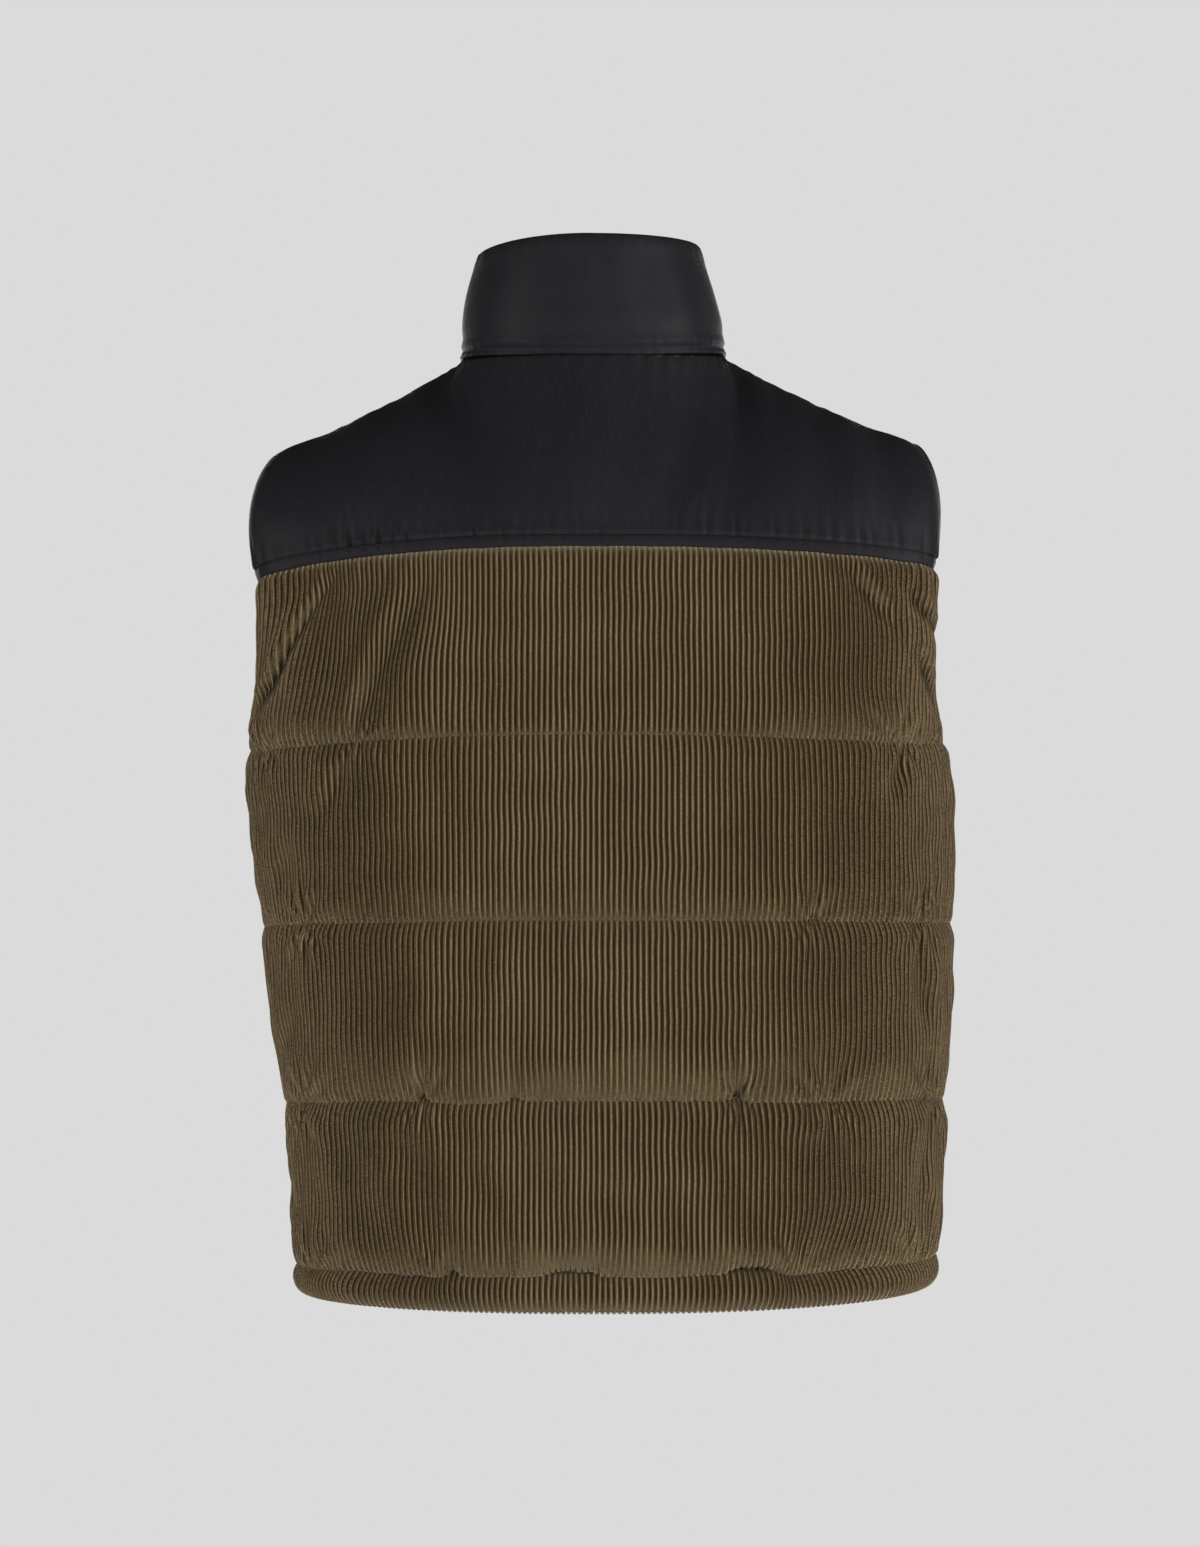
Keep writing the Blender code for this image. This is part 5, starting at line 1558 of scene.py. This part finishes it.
class VestStage(bpy.types.PropertyGroup):
    distance: length_setting("Distance", "From the camera to the middle of the vest", 2.9)
    camera_height: length_setting("Camera height", "Below the shoulders if negative", -0.25)
    camera_side: length_setting("Camera side", "Of the camera from the middle", 0.004)
    lens: FloatProperty(name="Lens", description="Focal length", default=100.8, unit="CAMERA")
    backdrop: share_setting("Backdrop", "Brightness behind the vest", 0.708)
    fill: share_setting("Fill", "Light from all round", 0.05)
    key_power: power_setting("Key", "Power of the light beside the camera", 53.0)
    left_power: power_setting("Left", "Power of the light on the left", 43.0)
    right_power: power_setting("Right", "Power of the light on the right", 75.0)
    rear_power: power_setting("Rear", "Power of the lights on the front of the vest", 34.0)
    floor_height: length_setting("Floor", "Height of the floor, below the shoulders if negative", -1.4)


SETTINGS = {
    "corduroy": VestCorduroy,
    "nylon": VestNylon,
    "stitches": VestStitches,
    "zip": VestZip,
    "stage": VestStage,
}


def settings_of(context, name):
    return getattr(context.scene, "vest_" + name)


def nylon_cloth(settings):
    return bpy.data.materials.get("satin nylon") or nylon_material(settings)


# ================================================================ operators
SIDES = (("left", -1), ("right", 1))
SEAMS = {}  # stitch lines of the pieces sewn so far


class VEST_OT_corduroy(bpy.types.Operator):
    """Sews the corduroy body panels and hem tubes"""

    bl_idname = "vest.corduroy"
    bl_label = "Corduroy body"

    def execute(self, context):
        settings = settings_of(context, "corduroy")
        backing = plain_material("woven backing", "backing", settings.backing_colour, settings.wale_pitch)
        cloth = [corduroy_material(settings), backing]
        panels = [("back_body", body_panel, BACK, 0), ("hem_back", hem_panel, BACK, 0)]
        for word, side in SIDES:
            panels.append(("front_body_" + word, body_panel, FRONT, side))
            panels.append(("hem_front_" + word, hem_panel, FRONT, side))
        for node, make, face, side in panels:
            mesh = make("corduroy_" + node, face, side, settings)
            piece = add_piece("corduroy_" + node, mesh, cloth, "vest")
            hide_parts(node)
        return {"FINISHED"}


class VEST_OT_yokes(bpy.types.Operator):
    """Sews the nylon yokes"""

    bl_idname = "vest.yokes"
    bl_label = "Yokes"

    def execute(self, context):
        settings = settings_of(context, "nylon")
        parts = (("back_yoke", BACK, 0), ("front_yoke_left", FRONT, -1), ("front_yoke_right", FRONT, 1))
        for node, face, side in parts:
            mesh, SEAMS[node] = yoke_panel("nylon_" + node, face, side, settings)
            piece = add_piece("nylon_" + node, mesh, [nylon_cloth(settings)], "vest")
            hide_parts(node)
        return {"FINISHED"}


class VEST_OT_collar(bpy.types.Operator):
    """Sews the stand collar"""

    bl_idname = "vest.collar"
    bl_label = "Collar"

    def execute(self, context):
        settings = settings_of(context, "nylon")
        mesh, SEAMS["collar"] = collar_mesh("nylon_collar", settings)
        piece = add_piece("nylon_collar", mesh, [nylon_cloth(settings)], "vest")
        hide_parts("collar")
        return {"FINISHED"}


class VEST_OT_stitches(bpy.types.Operator):
    """Stitches the yoke edges and the base of the collar"""

    bl_idname = "vest.stitches"
    bl_label = "Stitches"

    def execute(self, context):
        settings = settings_of(context, "stitches")
        tree = stitch_tree()
        sizes = {"Pitch": settings.pitch, "Length": settings.length, "Radius": settings.radius}
        yokes = [path for node, path in SEAMS.items() if node != "collar"]
        rows = (
            ("yoke", yokes, settings.nylon_colour),
            ("collar", [SEAMS["collar"]], settings.collar_colour),
        )
        for word, paths, colour in rows:
            thread = plain_material("thread_" + word, "thread", colour)
            mesh = run_tree("stitches_" + word, tree, paths, sizes, thread)
            add_piece("stitches_" + word, mesh, [], "vest")
        return {"FINISHED"}


class VEST_OT_zip(bpy.types.Operator):
    """Sews the zip tapes, sets their teeth and finishes the slider and its tab"""

    bl_idname = "vest.zip"
    bl_label = "Zip"

    def execute(self, context):
        settings = settings_of(context, "zip")
        cloth = plain_material("woven tape", "tape", settings.tape_colour)
        path, normal, at = zip_path()
        for word, side in SIDES:
            piece = add_piece("tape_" + word, tape_mesh("tape_" + word, side), [cloth], "vest")
            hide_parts("zip_tape_" + word)
        middle = np.zeros((len(path), 3))
        middle[:, 1:] = path + normal * (TAPE_LIFT + TAPE_WALL / 2)
        below = at < at[-1] - SLIDER_LENGTH * SLIDER_COVER
        sizes = {"Pitch": settings.tooth_pitch, "Width": settings.tooth_width}
        sizes |= {"Height": settings.tooth_height, "Thickness": settings.tooth_thickness}
        moulded = plain_material("moulded teeth", "thread", settings.tape_colour)
        mesh = run_tree("zip_teeth", teeth_tree(), [middle[below]], sizes, moulded)
        mesh.shade_flat()
        add_piece("zip_teeth", mesh, [], "vest")
        metal = plain_material("lacquered zinc", "zinc", settings.metal_colour)
        for node in ("zip_slider", "zip_pull"):
            for slot in frame["nodes"][node].material_slots:
                slot.material = metal
        return {"FINISHED"}


class VEST_OT_stage(bpy.types.Operator):
    """Sets up the floor, the lights and the camera"""

    bl_idname = "vest.stage"
    bl_label = "Studio"

    def execute(self, context):
        settings = settings_of(context, "stage")
        context.scene.view_settings.view_transform = "Standard"
        for part in (studio_world, studio_floor, studio_lights, studio_camera):
            part(context.scene, settings)
        return {"FINISHED"}


# ================================================================ studio
VEST_MIDDLE = (0, 0, -0.25)
FLOOR_SIDES = 64
FLOOR_RADII = (0.6, 1.2, 1.6, 2.4, 3.3)
FLOOR_FADE = (1.4, 3.1)  # radii between which the floor fades into the backdrop


def studio_world(scene, settings):
    """A pale backdrop for the eye, and a dimmer light from all round."""
    scene.world = bpy.data.worlds.new("studio")
    scene.world.use_nodes = True
    tree = scene.world.node_tree
    tree.nodes.clear()
    seen = add_node(tree, "ShaderNodeLightPath").outputs["Is Camera Ray"]
    grey = settings.backdrop
    backdrop = add_node(tree, "ShaderNodeBackground", {"Color": (grey, grey, grey, 1)}).outputs[0]
    inputs = {"Color": (1, 1, 1, 1), "Strength": settings.fill}
    fill = add_node(tree, "ShaderNodeBackground", inputs).outputs[0]
    mixed = add_node(tree, "ShaderNodeMixShader", {0: seen, 1: fill, 2: backdrop}).outputs[0]
    add_node(tree, "ShaderNodeOutputWorld", {"Surface": mixed})


def studio_floor(scene, settings):
    """A round pale floor that fades into the backdrop."""
    turns = np.linspace(0, 2 * math.pi, FLOOR_SIDES + 1)[:-1]
    height, count = settings.floor_height, len(turns)
    ring = [(r * math.cos(a), r * math.sin(a), height) for r in FLOOR_RADII for a in turns]
    faces = [(0, 1 + i, 1 + (i + 1) % count) for i in range(count)]
    for start in range(1, 1 + count * (len(FLOOR_RADII) - 1), count):
        for i in range(count):
            j = (i + 1) % count
            faces.append((start + i, start + count + i, start + count + j, start + j))
    mesh = bpy.data.meshes.new("floor")
    mesh.from_pydata([(0, 0, height)] + ring, [], faces)
    plain = {"Base_Color": (0.72, 0.72, 0.72, 1), "Roughness": 0.9, "Specular_IOR_Level": 0.1}
    material, tree = new_material("floor", **plain)
    inputs = {0: object_place(tree), 1: (1, 1, 0)}
    flat = add_node(tree, "ShaderNodeVectorMath", inputs, operation="MULTIPLY").outputs[0]
    out = add_node(tree, "ShaderNodeVectorMath", {0: flat}, operation="LENGTH").outputs["Value"]
    alpha = tree.nodes["Principled BSDF"].inputs["Alpha"]
    tree.links.new(between(tree, out, *FLOOR_FADE, 1.0, 0.0), alpha)
    mesh.materials.append(material)
    floor = bpy.data.objects.new("floor", mesh)
    scene.collection.objects.link(floor)


def studio_lights(scene, settings):
    """Soft boxes: one over the camera, two at the sides, two on the front of the vest."""
    lamps = (
        ("key", (0.0, -3.3, -0.15), 2.4, settings.key_power),
        ("left", (-2.6, -1.2, 0.1), 1.6, settings.left_power),
        ("right", (2.6, -1.2, 0.1), 1.6, settings.right_power),
        ("front left", (-1.0, 2.8, -0.3), 1.8, settings.rear_power),
        ("front right", (1.0, 2.8, -0.3), 1.8, settings.rear_power),
    )
    for name, place, size, energy in lamps:
        data = bpy.data.lights.new(name, "AREA")
        data.size = size
        data.energy = energy
        lamp = bpy.data.objects.new(name, data)
        lamp.location = place
        lamp.rotation_euler = (Vector(VEST_MIDDLE) - Vector(place)).to_track_quat("-Z", "Y").to_euler()
        lamp.visible_camera = False
        scene.collection.objects.link(lamp)


def studio_camera(scene, settings):
    data = bpy.data.cameras.new("camera")
    data.lens = settings.lens
    camera = bpy.data.objects.new("camera", data)
    camera.location = (settings.camera_side, -settings.distance, settings.camera_height)
    camera.rotation_euler = (math.pi / 2, 0, 0)
    scene.collection.objects.link(camera)
    scene.camera = camera


# ================================================================ add-on
STEPS = (VEST_OT_corduroy, VEST_OT_yokes, VEST_OT_collar, VEST_OT_stitches, VEST_OT_zip, VEST_OT_stage)


class VEST_PT_tools(bpy.types.Panel):
    """Lists the steps that sew the vest"""

    bl_idname = "VEST_PT_tools"
    bl_label = "Quilted vest"
    bl_space_type = "VIEW_3D"
    bl_region_type = "UI"
    bl_category = "Vest"

    def draw(self, context):
        for step in STEPS:
            self.layout.operator(step.bl_idname)
        for name in SETTINGS:
            group = settings_of(context, name)
            for label in group.bl_rna.properties.keys():
                if label not in ("rna_type", "name"):
                    self.layout.prop(group, label)


def register():
    for kind in (*SETTINGS.values(), *STEPS, VEST_PT_tools):
        bpy.utils.register_class(kind)
    for name, group in SETTINGS.items():
        setattr(bpy.types.Scene, "vest_" + name, PointerProperty(type=group))


def unregister():
    for name in SETTINGS:
        delattr(bpy.types.Scene, "vest_" + name)
    for kind in (VEST_PT_tools, *reversed(STEPS), *SETTINGS.values()):
        bpy.utils.unregister_class(kind)


def main():
    register()
    mottling_group()
    weave_group()
    bpy.ops.vest.corduroy()
    bpy.ops.vest.yokes()
    bpy.ops.vest.collar()
    bpy.ops.vest.stitches()
    bpy.ops.vest.zip()
    bpy.ops.vest.stage()


if __name__ == "__main__":
    main()
